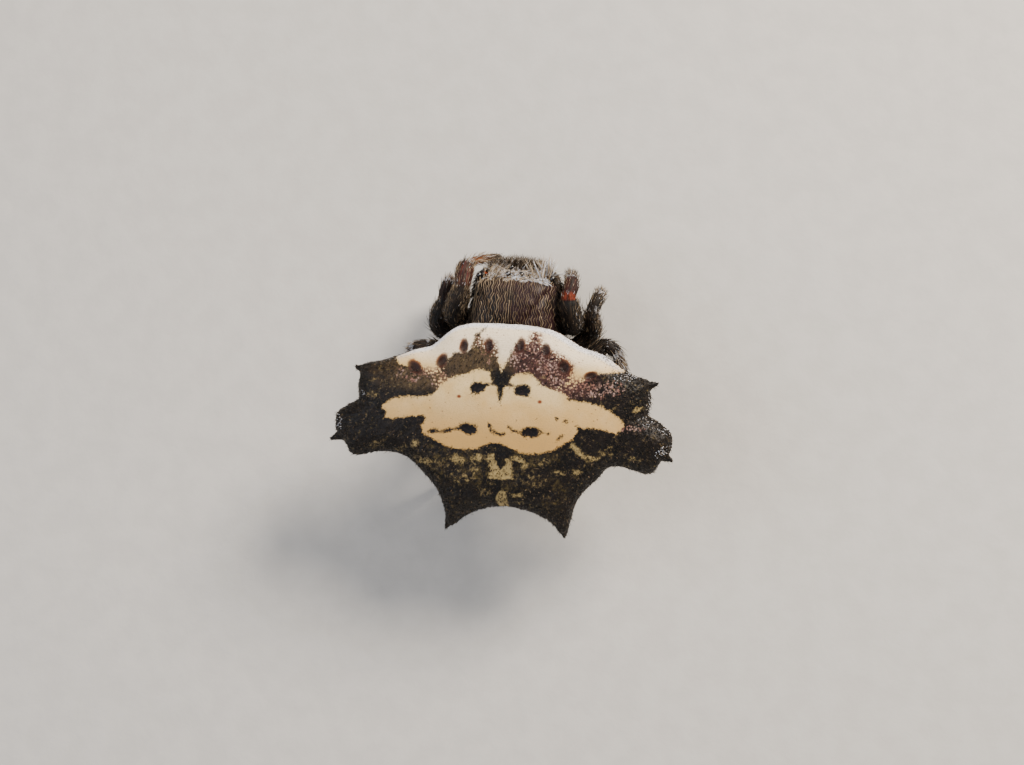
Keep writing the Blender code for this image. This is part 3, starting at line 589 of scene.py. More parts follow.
def shieldFinish():
    # arthropod cuticle, grown and tanned: waxy and matt where cream, black and velvety on the spines
    finish, shader, add, link, place = startMaterial("shieldCuticle", IOR=1.5, Specular_IOR_Level=0.24)
    fray = add("Math", add("Math", add("TexNoise", place, 1 / 0.13, 4, 0.65), 0.20, operation="MULTIPLY"),
               add("Math", add("TexNoise", place, 1 / 0.040, 2), 0.16, operation="MULTIPLY"),
               operation="ADD")
    fray = add("Math", fray, 0.18, operation="SUBTRACT")
    onBack = add("Attribute", attribute_name="back", output=2)
    wing = add("Attribute", attribute_name="wing", output=2)
    rear = add("Attribute", attribute_name="rear", output=2)
    melts = add("Attribute", attribute_name="melts", output=2)
    x = add("SeparateXYZ", place)
    rightSide = add("MapRange", x, -0.2, -0.6, **smooth)
    fleckNoise = add("TexNoise", place, 1 / 0.065, 3, 0.7)
    grains = add("TexVoronoi", place, 1 / 0.058)
    grain = add("MapRange",
                add("Math", grains, add("Math", fray, 2.2, operation="MULTIPLY"), operation="ADD"), 0.70,
                0.25, **smooth)
    pick = add("SeparateColor", grains.node.outputs["Color"])
    stipple = add("Math",
                  add("Math", add("Math", grain, pick, operation="MULTIPLY"), 0.30, operation="SUBTRACT"),
                  add("Math", melts, 0.30, operation="MULTIPLY"), operation="MULTIPLY")
    edge = add("Math",
               add("Math", add("Attribute", attribute_name="cream", output=2), fray, operation="ADD"),
               stipple, operation="ADD")
    cream = add("MapRange", edge, -0.030, 0.042, **smooth)
    cream = add("Math", cream, add("MapRange", onBack, 0.3, 0.6, **smooth), operation="MULTIPLY")
    spots = add("MapRange",
                add("Math", add("Attribute", attribute_name="spots", output=2),
                    add("Math", fray, 0.85, operation="MULTIPLY"), operation="ADD"), -0.045, 0.03,
                **smooth)
    broken = add("Math", add("TexNoise", place, 1 / 0.13, 5, 0.8), 0.50, operation="SUBTRACT")
    pale = add("Math", add("Attribute", attribute_name="pale", output=2),
               add("Math", broken, 3.3, operation="MULTIPLY"), operation="ADD")
    pale = add("MapRange", add("Math", pale, add("Math", fray, 1.6, operation="MULTIPLY"), operation="ADD"),
               0.15, 1.0, **smooth)
    near = add("Math", add("Math", rear, 0.7, operation="MULTIPLY"),
               add("MapRange", add("Attribute", attribute_name="pale", output=2), -0.25, 0.15, **smooth),
               operation="MAXIMUM")
    pale = add("Math", add("Math", pale, near, operation="MULTIPLY"),
               add("MapRange", onBack, 0.3, 0.6, **smooth), operation="MULTIPLY")
    # cream: sandy in the middle, with painted light: paler along the front as a painted highlight and darker
    # towards the rear as painted shade; faint brown specks where hairs root
    front = add("MapRange", add("Attribute", attribute_name="front", output=2), 0.0, 1.0, **smooth)
    y = add("SeparateXYZ", place, output=1)
    sandy = add("Mix", add("MapRange", add("TexNoise", place, 1 / 0.7, 3), 0.35, 0.65, **smooth), "e6c17e",
                "f2d49c", **inColour)
    # painted shade: the cream darkens towards the rear
    sandy = add("Mix", add("MapRange", y, 0.2, 2.0, **smooth), sandy, "cfa35e", **inColour)
    # painted highlight: the cream pales along the front
    creamColour = add("Mix", front, sandy, "ffeccb", **inColour)
    grit = add("MapRange", add("TexNoise", place, 1 / 0.034, 3, 0.65), 0.46, 0.68, **smooth)
    creamColour = add("Mix", add("Math", grit, 0.34, operation="MULTIPLY"), creamColour, "b08f60",
                      **inColour)
    specks = add("TexVoronoi", place, 1 / 0.15)
    speck = add("Math", add("MapRange", specks, 0.17, 0.09, **smooth),
                add("MapRange", add("TexNoise", place, 1 / 0.22, 1), 0.46, 0.58, **smooth),
                operation="MULTIPLY")
    creamColour = add("Mix", add("Math", speck, 0.55, operation="MULTIPLY"), creamColour, "7d5238",
                      **inColour)
    # black: velvety charcoal with brownish wings, and pink flecks that gather in clusters
    dark = add("Mix", add("MapRange", add("TexNoise", place, 1 / 0.45, 3), 0.3, 0.7, **smooth), "090706",
               "17110e", **inColour)
    dark = add("Mix",
               add("Math", add("MapRange", fleckNoise, 0.50, 0.66, **smooth), 0.42, operation="MULTIPLY"),
               dark, "32271f", **inColour)
    wingColour = add("Mix", rightSide, "4c3d29", "432a26", **inColour)
    wingMask = add("Math", wing,
                   add("MapRange", add("TexNoise", place, 1 / 0.30, 3), 0.28, 0.55, 0.45, 1.0, **smooth),
                   operation="MULTIPLY")
    dark = add("Mix", wingMask, dark, wingColour, **inColour)
    crowd = add("Math", add("Math", wing, rightSide, operation="MULTIPLY"), 0.30, operation="MULTIPLY")
    crowd = add("Math", crowd, add("Attribute", attribute_name="flecks", output=2), operation="MAXIMUM")
    crowd = add("Math", crowd,
                add("Math", melts,
                    add("MapRange", add("Attribute", attribute_name="cream", output=2), -0.35, 0.0,
                        **smooth), operation="MULTIPLY"), operation="MAXIMUM")
    fleck = add("MapRange",
                add("Math", pick, add("Math", crowd, 0.70, operation="MULTIPLY"), operation="ADD"), 0.74,
                1.20, **smooth)
    fleck = add("Math", add("Math", fleck, grain, operation="MULTIPLY"),
                add("MapRange", crowd, 0.0, 0.25, **smooth), operation="MULTIPLY")
    fleckColour = add("Mix", add("MapRange", add("TexNoise", place, 1 / 0.25, 2), 0.4, 0.6, **smooth),
                      "9c6f60", "b8988c", **inColour)
    dark = add("Mix", add("Math", fleck, 0.82, operation="MULTIPLY"), dark, fleckColour, **inColour)
    straw = add("MapRange", add("TexNoise", place, 1 / 0.17, 5, 0.75), 0.46, 0.66, **smooth)
    straw = add("Math", add("Math", straw, rear, operation="MULTIPLY"),
                add("MapRange", add("TexNoise", place, 1 / 0.6, 2), 0.36, 0.58, **smooth),
                operation="MULTIPLY")
    dark = add("Mix", add("Math", straw, 0.62, operation="MULTIPLY"), dark, "64552f", **inColour)
    dark = add("Mix", add("Attribute", attribute_name="star", output=2), dark, "0d0a08", **inColour)
    under = add("Math", 1.0, onBack, operation="SUBTRACT")
    yellow = add("Math", add("MapRange", add("TexNoise", place, 1 / 0.42, 3), 0.56, 0.64, **smooth),
                 add("MapRange", under, 0.6, 1.0, **smooth), operation="MULTIPLY")
    dark = add("Mix", add("Math", yellow, 0.70, operation="MULTIPLY"), dark, "9a763a", **inColour)
    colour = add("Mix", cream, dark, creamColour, **inColour)
    # the wings' front borders melt into the cream through a brown haze
    haze = add("Math", add("MapRange", edge, -0.12, 0.0, **smooth),
               add("MapRange", edge, 0.16, 0.02, **smooth), operation="MULTIPLY")
    haze = add("Math", add("Math", haze, melts, operation="MULTIPLY"),
               add("MapRange", fleckNoise, 0.30, 0.60, 0.35, 1.0, **smooth), operation="MULTIPLY")
    colour = add("Mix", add("Math", haze, 0.75, operation="MULTIPLY"), colour, "8c6a54", **inColour)
    colour = add("Mix", add("Math", pale, 0.84, operation="MULTIPLY"), colour, "b29a66", **inColour)
    mottle = add("Mix", add("MapRange", add("TexNoise", place, 1 / 0.06, 2), 0.45, 0.65, **smooth),
                 "070506", "1c1212", **inColour)
    colour = add("Mix", spots, colour, mottle, **inColour)
    # pits: dark brown, soft at the edge, with rust on one side
    pit = add("Math", add("Attribute", attribute_name="pit", output=2),
              add("Math", fray, 2.2, operation="MULTIPLY"), operation="ADD")
    rustAndEyeShine = add("Math", add("MapRange", pit, -0.50, -0.15, **smooth),
               add("Attribute", attribute_name="rustAndEyeShine", output=2), operation="MULTIPLY")
    rustAndEyeShine = add("Math", rustAndEyeShine, add("MapRange", onBack, 0.5, 0.8, **smooth), operation="MULTIPLY")
    colour = add("Mix", add("Math", rustAndEyeShine, 0.85, operation="MULTIPLY"), colour, "955524", **inColour)
    colour = add("Mix",
                 add("Math", add("MapRange", pit, -0.35, 0.10, **smooth), 0.92, operation="MULTIPLY"),
                 colour, "3c1d14", **inColour)
    colour = add("Mix", add("Math", add("MapRange", pit, 0.05, 0.45, **smooth), 0.8, operation="MULTIPLY"),
                 colour, "1b0d0b", **inColour)
    colour = add("Mix",
                 add("MapRange", add("Attribute", attribute_name="red", output=2), -0.03, 0.03, **smooth),
                 colour, "7a3a1f", **inColour)
    # painted highlight: a bluish-white glow along the cream's front edge
    paintedRimHighlight = add("Math",
                 add("MapRange", add("Attribute", attribute_name="rim", output=2), 0.13, 0.03, **smooth),
                 add("Math", front, cream, operation="MULTIPLY"), operation="MULTIPLY")
    colour = add("Mix", add("Math", paintedRimHighlight, 0.85, operation="MULTIPLY"), colour, "fbfaff", **inColour)
    link(colour, shader.inputs["Base Color"])
    link(add("MapRange", cream, 0, 1, 0.46, 0.48, **smooth), shader.inputs["Roughness"])
    # fine ridges run along the front edge
    ridges = add("Math",
                 add("Math", add("Attribute", attribute_name="rim", output=2), 2 * pi / 0.062,
                     operation="MULTIPLY"), operation="SINE")
    ridges = add("Math", ridges,
                 add("Math", front,
                     add("MapRange", add("Attribute", attribute_name="rim", output=2), 0.9, 0.3, **smooth),
                     operation="MULTIPLY"), operation="MULTIPLY")
    height = add("Math", add("TexNoise", place, 1 / 0.03, 3),
                 add("Math", speck, -1.2, operation="MULTIPLY"), operation="ADD")
    height = add("Math", height, add("Math", ridges, 0.22, operation="MULTIPLY"), operation="ADD")
    bump = add("Bump", 1.0, 0.009 * mm, None, height)
    link(bump, shader.inputs["Normal"])
    return finish


shieldHairs = dict(
    # kind: how many, shortest and longest mm, width, how far they stand up, spacing
    velvet=(15000, 0.06, 0.12, 0.015, 0.55, 0.040), grains=(9500, 0.040, 0.075, 0.034, 1.3, 0.058),
    bristles=(1000, 0.13, 0.22, 0.017, 0.85, 0.12), glints=(620, 0.030, 0.060, 0.034, 1.0, 0.055),
    rim=(1100, 0.035, 0.075, 0.016, 0.7, 0.03),
)


def makeShieldHair(mesh, p, info):
    # short black bristles, laid back over the black cuticle only, so that they fray the marks' edges;
    # besides them, pale bristles on the rim and lobes and along the front edge are painted glints and a
    # painted highlight
    rng = np.random.default_rng(21)
    n = meshNormals(mesh)
    made = dict(back=[], under=[])
    black = between(info["cream"], 0.02, -0.01) * info["back"] + (1 - info["back"])
    weights = dict(velvet=0.0005 + black * info["thin"],
                   grains=black * (0.10 + between(info["rough"], 0.35, 0.8)) * info["thin"],
                   bristles=black * (0.35 + info["rough"]), glints=info["glints"] ** 1.5, rim=info["rim"])
    for kind, (count, low, high, width, stand, spacing) in shieldHairs.items():
        sample = scatterOn(mesh, count, weights[kind], rng, spacing)
        roots, normals = sample(p), unit(sample(n))
        flow = np.column_stack((0.35 * roots[:, 0], 0.9 + 0 * roots[:, 0], 0 * roots[:, 0]))
        flow = flow + rng.normal(0, 0.75, roots.shape)
        flow = unit(flow - (flow * normals).sum(axis=1)[:, None] * normals)
        lean = stand + rng.uniform(-0.25, 0.25, len(roots))
        way = unit(flow + normals * lean[:, None])
        lengths = rng.uniform(low, high, len(roots))
        plan = sample(info["plan"])
        chance = rng.random(len(roots))
        pale = np.where(chance < 0.09, rng.uniform(0.20, 0.46, len(roots)),
                        rng.uniform(0, 0.12, len(roots)))
        # painted glints: the glint and rim bristles are mostly bluish white
        if kind in ("glints", "rim"):
            pale = np.where(chance < 0.7, rng.uniform(0.80, 1.0, len(roots)),
                            rng.uniform(0.05, 0.4, len(roots)))
        for side, where in (("back", sample(info["back"]) > 0.5), ("under", sample(info["back"]) <= 0.5)):
            sheet = 0.25 + plan[where] / (22.0, 14.0) + (0.0 if side == "back" else 0.5)
            made[side].append(hairMesh(kind, roots[where] - normals[where] * 0.008, way[where],
                                       -normals[where] * 0.15, lengths[where], np.full(where.sum(), width),
                                       sheet, pale[where], rings=2, seed=len(made[side])))
    return joinMeshes("abdomenFur", made["back"]), joinMeshes("abdomenFurUnder", made["under"])


print("abdomen")
shieldMesh, shieldPoints, shieldInfo = makeShieldSkin()
furMeshes = makeShieldHair(shieldMesh, shieldPoints, shieldInfo)
setPoints(shieldMesh, shieldToBody(shieldPoints))
finishPiece("abdomenSkin", shieldMesh, shieldFinish(), ["abdomen"])
hairMaterial = hairFinish()
for furMesh in furMeshes:
    setPoints(furMesh, shieldToBody(meshPoints(furMesh)))
    finishPiece(furMesh.name, furMesh, hairMaterial)


# Legs and other drawn-out pieces

legs = dict(
    # each leg's joints: root at the sternum, hip, bow of the femur, knee, patella's end, ankle, heel, foot
    joints={
        "left_1": [(0.70, -2.55, 1.38), (1.52, -2.72, 1.40), (1.90, -2.62, 2.30), (1.66, -3.28, 2.92),
                   (1.58, -4.02, 2.72), (0.92, -4.48, 1.72), (1.16, -4.66, 0.66), (1.30, -4.80, 0.0)],
        "left_2": [(0.80, -2.15, 1.38), (1.68, -2.08, 1.38), (2.44, -2.40, 1.66), (2.34, -3.02, 2.06),
                   (2.26, -3.62, 1.96), (2.30, -3.80, 1.24), (2.48, -3.64, 0.52), (2.56, -3.44, 0.0)],
        "left_3": [(0.80, -1.75, 1.38), (1.66, -1.48, 1.38), (2.14, -1.62, 1.74), (2.60, -1.77, 1.90),
                   (3.08, -1.70, 1.84), (3.28, -1.72, 1.16), (3.14, -1.80, 0.52), (3.06, -1.90, 0.0)],
        "left_4": [(0.58, -1.42, 1.38), (1.36, -0.94, 1.38), (2.00, -0.34, 1.72), (2.44, 0.36, 1.74),
                   (2.62, 1.02, 1.52), (2.60, 1.56, 1.02), (2.42, 1.84, 0.46), (2.30, 1.98, 0.0)],
        "right_1": [(-0.38, -2.55, 1.38), (-1.30, -2.66, 1.40), (-1.48, -2.56, 2.40), (-1.40, -3.14, 2.94),
                    (-1.44, -3.70, 2.76), (-1.20, -4.08, 1.76), (-1.06, -4.12, 0.68), (-1.06, -4.02, 0.0)],
        "right_2": [(-0.46, -2.15, 1.38), (-1.44, -2.06, 1.36), (-1.92, -2.42, 1.58), (-1.94, -2.98, 2.07),
                    (-2.12, -3.48, 1.97), (-2.06, -3.68, 1.18), (-1.93, -3.60, 0.52), (-1.81, -3.46, 0.0)],
        "right_3": [(-0.44, -1.75, 1.38), (-1.36, -1.44, 1.38), (-1.96, -1.72, 1.70), (-2.42, -2.10, 1.92),
                    (-2.74, -1.84, 1.84), (-2.88, -1.44, 1.20), (-2.74, -1.38, 0.52), (-2.62, -1.46, 0.0)],
        "right_4": [(-0.18, -1.42, 1.38), (-1.06, -0.98, 1.38), (-1.62, -0.46, 1.68), (-1.96, 0.10, 1.70),
                    (-1.98, 0.60, 1.50), (-1.88, 0.94, 1.00), (-1.70, 1.08, 0.46), (-1.60, 1.14, 0.0)], },
    # thickness along the leg: place in joints from the root, radius; the dips are the joints
    profile=[(0.0, 0.17), (0.5, 0.22), (0.80, 0.225), (0.88, 0.195), (0.96, 0.225), (1.03, 0.20),
             (1.15, 0.235), (1.5, 0.265), (1.8, 0.245), (1.93, 0.215), (2.0, 0.18), (2.07, 0.205),
             (2.25, 0.225), (2.42, 0.215), (2.50, 0.17), (2.58, 0.185), (2.78, 0.19), (2.93, 0.175),
             (3.0, 0.13), (3.06, 0.148), (3.3, 0.142), (3.52, 0.125), (3.58, 0.10), (3.64, 0.112),
             (3.85, 0.095), (3.97, 0.06)],
    # each pair's own thickness, as a share: femur, patella, then tibia and foot
    stout={"left_1": (1.24, 1.12, 0.68), "right_1": (1.20, 0.98, 0.9), "left_2": (1.10, 0.80, 0.82),
           "right_2": (1.05, 0.76, 0.8), "left_3": (0.88, 0.84, 0.84), "right_3": (0.90, 0.84, 0.84),
           "left_4": (0.92, 0.90, 0.90), "right_4": (0.92, 0.90, 0.90)},
    # how red the patella is, how orange the knee, how tan the tibia
    tints={"left_1": (1.0, 0.15, 1.0), "right_1": (0.62, 1.0, 0.2), "left_2": (0.30, 0.0, 0.25),
           "right_2": (0.0, 0.0, 0.1)},
    plainTint=(0.05, 0.05, 0.15),
    # hair of each leg: share of tan, share of white
    fur={"left_1": (3.0, 1.0), "right_1": (0.9, 1.1), "left_2": (0.9, 1.0), "right_2": (0.9, 1.3)},
    plainFur=(0.45, 1.6),
    around=28, rings=210, footClear=0.05, )


def evenLine(line, count):
    line = np.asarray(line, float)
    gone = np.concatenate(([0], np.cumsum(np.linalg.norm(np.diff(line, axis=0), axis=1))))
    wanted = np.linspace(0, gone[-1], count)
    return np.column_stack([np.interp(wanted, gone, line[:, i]) for i in range(3)]), wanted, gone


def drawnOut(name, line, radii, around, flat=1.0):
    # a ball drawn out along a line: its rings take the line's places and radii
    rings = len(line)
    bm = bmesh.new()
    bmesh.ops.create_uvsphere(bm, u_segments=around, v_segments=rings + 1, radius=1.0)
    mesh = meshFrom(bm, name)
    p = meshPoints(mesh)
    ring = np.rint(np.arccos(np.clip(p[:, 2], -1, 1)) / pi * (rings + 1)).astype(int) - 1
    pole = (ring < 0) | (ring >= rings)
    ring = np.clip(ring, 0, rings - 1)
    angle = np.arctan2(p[:, 1], p[:, 0])
    tangent = unit(np.gradient(line, axis=0))
    side = unit(np.cross(tangent[0], (0.0, 0.3, 1.0)))
    sides, ups = [], []
    for way in tangent:
        side = unit(side - (side @ way) * way)
        sides.append(side)
        ups.append(np.cross(way, side))
    sides, ups = np.array(sides), np.array(ups)
    size = np.where(pole, 0.0, radii[ring])[:, None]
    out = np.cos(angle)[:, None] * sides[ring] + flat * np.sin(angle)[:, None] * ups[ring]
    setPoints(mesh, line[ring] + size * out)
    bm = bmesh.new()
    bm.from_mesh(mesh)
    made = meshFrom(bm, name)
    bpy.data.meshes.remove(mesh)
    return made, ring, angle, tangent


def roundedEnds(radii, reach=5):
    ends = np.minimum(np.arange(len(radii)), np.arange(len(radii))[::-1])
    return radii * np.sqrt(1 - (1 - np.clip((ends + 0.6) / reach, 0, 1)) ** 2)


def legLine(joints):
    # each length bends as in the model; the joints between are then eased
    j = [np.array(p) for p in joints]
    lengths = [(j[0], (j[0] + j[1]) / 2, j[1]), (j[1], j[2], j[3]), (j[3], j[4], j[5]), (j[5], j[6], j[7])]
    steps = 40
    line, at = [], []
    for k, length in enumerate(lengths):
        part = smoothLine(length, steps)
        line.append(part[:-1] if k < 3 else part)
        at.append(k + np.arange(len(line[-1])) / (2 * steps))
    line, at = np.vstack(line), np.concatenate(at)
    for _ in range(60):
        line[1:-1] += 0.5 * ((line[:-2] + line[2:]) / 2 - line[1:-1])
    even, wanted, gone = evenLine(line, legs["rings"])
    return even, np.interp(wanted, gone, at), wanted


def makeLeg(side, joints, seed):
    joints = joints[:-1] + [(*joints[-1][:2], joints[-1][2] + legs["footClear"])]
    line, at, gone = legLine(joints)
    femur, patella, tibia = legs["stout"][side]
    radii = np.interp(at, *np.array(legs["profile"]).T)
    radii = radii * np.interp(at, (1.9, 2.08, 2.42, 2.56), (femur, patella, patella, tibia))
    kernel = np.array((1, 3, 4, 3, 1)) / 12
    radii = roundedEnds(np.convolve(np.pad(radii, 2, "edge"), kernel, "valid"))
    mesh, ring, angle, tangent = drawnOut("leg", line, radii, legs["around"])
    p, n = meshPoints(mesh), meshNormals(mesh)
    ribs = 0.010 * softNoise(np.column_stack((np.cos(angle) * 1.2, np.sin(angle) * 1.2, gone[ring] * 0.35)),
                             0.28, seed)
    lumps = 0.009 * softNoise(p, 0.12, seed + 1)
    p = p + n * (ribs + lumps)[:, None]
    p[:, 2] = np.maximum(p[:, 2], 0.0)
    setPoints(mesh, p)
    a = at[ring]
    red, orange, tan = legs["tints"].get(side, legs["plainTint"])
    addVectors(mesh, "wrap", np.column_stack((np.cos(angle), np.sin(angle), gone[ring])))
    addValues(mesh, "red", red * between(a, 2.0, 2.08) * (1 - between(a, 2.40, 2.56)))
    addValues(mesh, "orange", orange * between(a, 1.94, 2.0) * (1 - between(a, 2.02, 2.26)))
    addValues(mesh, "tan", tan * between(a, 2.46, 2.54) * (1 - between(a, 2.62, 3.0)))
    return mesh, dict(points=p, at=a, way=tangent[ring], gone=gone[ring], toe=(line[-1], tangent[-1]))


def legFinish():
    # tanned cuticle: near black, red-brown on the patellae, polished between the hairs
    finish, shader, add, link, place = startMaterial("legCuticle", IOR=1.5, Specular_IOR_Level=0.28)
    wrap = add("Attribute", attribute_name="wrap", output=1)
    streakPlace = add("Mapping", wrap, None, None, (1.0, 1.0, 0.22))
    streak = add("TexNoise", streakPlace, 1 / 0.15, 3)
    base = add("Mix", add("MapRange", add("TexNoise", place, 1 / 0.3, 3), 0.35, 0.7, **smooth), "0b0908",
               "1d1611", **inColour)
    base = add("Mix",
               add("Math", add("MapRange", streak, 0.52, 0.72, **smooth), 0.50, operation="MULTIPLY"), base,
               "483624", **inColour)
    tan = add("Mix", add("MapRange", streak, 0.35, 0.65, **smooth), "43200e", "7c4a24", **inColour)
    colour = add("Mix", add("Attribute", attribute_name="tan", output=2), base, tan, **inColour)
    redColour = add("Mix", add("MapRange", streak, 0.40, 0.62, **smooth), "200c08", "54241a", **inColour)
    colour = add("Mix", add("Attribute", attribute_name="red", output=2), colour, redColour, **inColour)
    orangeColour = add("Mix", add("MapRange", streak, 0.35, 0.65, **smooth), "5a1c0c", "8f3b1a", **inColour)
    patchy = add("MapRange",
                 add("Math", add("Attribute", attribute_name="orange", output=2),
                     add("TexNoise", streakPlace, 1 / 0.09, 2), operation="ADD"), 1.00, 1.50, **smooth)
    colour = add("Mix", patchy, colour, orangeColour, **inColour)
    link(colour, shader.inputs["Base Color"])
    link(add("MapRange", streak, 0.3, 0.7, 0.48, 0.62, **smooth), shader.inputs["Roughness"])
    bump = add("Bump", 1.0, 0.016 * mm, None,
               add("Math", streak, add("TexNoise", place, 1 / 0.04, 3), operation="ADD"))
    link(bump, shader.inputs["Normal"])
    return finish


legHairs = dict(
    # kind: how many a leg, shortest and longest mm, width, how far they stand up, pale from and to
    bristles=(170, 0.20, 0.36, 0.020, 0.70, 0.0, 0.20), dark=(1000, 0.07, 0.16, 0.014, 0.42, 0.0, 0.30),
    tan=(520, 0.10, 0.20, 0.014, 0.40, 0.36, 0.62), white=(200, 0.05, 0.12, 0.017, 0.55, 0.78, 1.0),
    plume=(90, 0.16, 0.34, 0.014, 0.95, 0.60, 0.95),
)


def makeLegHair(side, mesh, info, seed):
    rng = np.random.default_rng(seed)
    at, points = info["at"], info["points"]
    normal = meshNormals(mesh)
    outward = normal[:, 0] * (1 if side.startswith("left") else -1)
    tanShare, whiteShare = legs["fur"].get(side, legs["plainFur"])
    made = []
    for kind, (count, low, high, width, stand, paleLow, paleHigh) in legHairs.items():
        weight = between(at, 0.9, 1.1)
        if kind == "white":  # the patella's tip, the knee, and a fringe along the outer side
            count = int(count * whiteShare)
            tips = 0.5 * np.exp(-((at - 2.04) / 0.05) ** 2) + 2.2 * np.exp(-((at - 2.47) / 0.06) ** 2)
            fringe = 0.30 * between(outward, 0.65, 0.90)
            weight = weight * (0.02 + tips * between(normal[:, 2], -0.2, 0.3) + fringe)
        if kind == "plume":  # long pale hairs on the patella's end and the tibia's top
            weight = weight * np.exp(-((at - 2.72) / 0.22) ** 2) * (0.2 + between(normal[:, 2], -0.1, 0.5))
        if kind == "tan":
            count = int(count * tanShare)
            weight = weight * (0.25 + between(np.abs(outward), 0.2, 0.7))
        sample = scatterOn(mesh, count, weight, rng)
        roots, way, normals = sample(points), unit(sample(info["way"])), unit(sample(normal))
        gone, place = sample(info["gone"]), sample(at)
        length = rng.uniform(low, high, len(roots)) * np.interp(place, (1, 3, 4), (1.0, 0.8, 0.5))
        lean = stand + rng.uniform(-0.15, 0.15, len(roots))
        start = unit(normals * lean[:, None] + way + rng.normal(0, 0.20, (len(roots), 3)))
        angle = np.arctan2((np.cross(way, (0.0, 0.3, 1.0)) * normals).sum(axis=1), normals[:, 2])
        uv = np.column_stack((angle / (2 * pi) % 1.0, gone / 6.0 % 1.0))
        made.append(hairMesh(kind, roots - normals * 0.012, start, way * 0.35 - normals * 0.22, length,
                             np.full(len(roots), width), uv, rng.uniform(paleLow, paleHigh, len(roots)),
                             seed=seed))
    return joinMeshes("legHair", made)


def keepAboveFloor(mesh, lowest=0.0):
    p = meshPoints(mesh)
    p[:, 2] = np.maximum(p[:, 2], lowest)
    setPoints(mesh, p)


def makeClaws(toes):
    # two curved claws and a shorter middle one at the end of each foot
    roots, ways, bends, lengths = [], [], [], []
    for place, way in toes:
        flat = unit(np.array((way[0], way[1], 0.0)) + (0.0, -1e-3, 0.0))
        across = np.array((-flat[1], flat[0], 0.0))
        for spread, length in ((0.5, 0.15), (-0.5, 0.15), (0.0, 0.09)):
            roots.append(place + across * spread * 0.05 + (0, 0, 0.045) - flat * 0.02)
            ways.append(unit(flat + across * spread * 0.6 + (0, 0, 0.25)))
            bends.append((0, 0, -0.55))
            lengths.append(length)
    count = len(roots)
    return hairMesh("footClaws", np.array(roots), np.array(ways), np.array(bends), np.array(lengths),
                    np.full(count, 0.042),
                    np.column_stack((np.linspace(0.1, 0.9, count), np.full(count, 0.5))),
                    np.full(count, 0.1), rings=6, sides=8)


print("legs")
legMaterial = legFinish()
toes = []
for number, (side, joints) in enumerate(legs["joints"].items()):
    legMesh, legInfo = makeLeg(side, joints, 30 + number)
    hairs = makeLegHair(side, legMesh, legInfo, 50 + number)
    keepAboveFloor(hairs, 0.005)
    toes.append(legInfo["toe"])
    nodes = [f"leg_{side}_{part}" for part in ("coxa", "femur", "tibia", "foot")]
    finishPiece(f"legSkin_{side}", legMesh, legMaterial, nodes)
    finishPiece(f"legHair_{side}", hairs, hairMaterial)
claws = makeClaws(toes)
keepAboveFloor(claws, 0.004)
finishPiece("footClaws", claws, hairMaterial)


# Carapace, eyes and mouthparts

carapace = dict(
    middle=0.17, spread=1.04, seam=2.05, under=1.70, around=128, rings=100, coatDepth=0.03,
    # front to rear: y, half width, top, and how boxy the ring is
    stations=[(-4.14, 0.45, 2.24, 0.80), (-4.02, 0.82, 2.52, 0.70), (-3.82, 1.04, 2.84, 0.58),
              (-3.60, 1.15, 3.12, 0.52), (-3.38, 1.19, 3.32, 0.52), (-3.05, 1.20, 3.37, 0.62),
              (-2.65, 1.22, 3.32, 0.68), (-2.20, 1.22, 3.16, 0.76), (-1.70, 1.14, 2.88, 0.82),
              (-1.30, 0.96, 2.56, 0.86), (-1.02, 0.66, 2.28, 0.90), (-0.90, 0.36, 2.12, 1.00)],
    # the last place is where orange-red eye shine is painted onto the cuticle, in front of each pair of side
    # eyes
    eyeRadius=0.085, knobSize=(0.16, 0.22, 0.18), knobShift=(0.0, 0.10, -0.04), rustAndEyeShine=(0.84, -3.80, 2.80),
    eyes={"front_middle": (0.17, -4.00, 2.64), "rear_middle": (0.19, -3.72, 3.02),
          "front_side": (0.92, -3.86, 2.70), "rear_side": (1.05, -3.68, 2.84)}, )


def power(value, exponent):
    return np.sign(value) * np.abs(value) ** exponent


def eyePlaces():
    for pair, (x, y, z) in carapace["eyes"].items():
        yield f"eye_{pair}_left", np.array((carapace["middle"] + x, y, z))
        yield f"eye_{pair}_right", np.array((carapace["middle"] - x, y, z))


def knobPlaces():
    # each pair of side eyes shares a knob
    places = dict(eyePlaces())
    for side in ("left", "right"):
        middle = (places[f"eye_front_side_{side}"] + places[f"eye_rear_side_{side}"]) / 2
        yield middle + carapace["knobShift"]


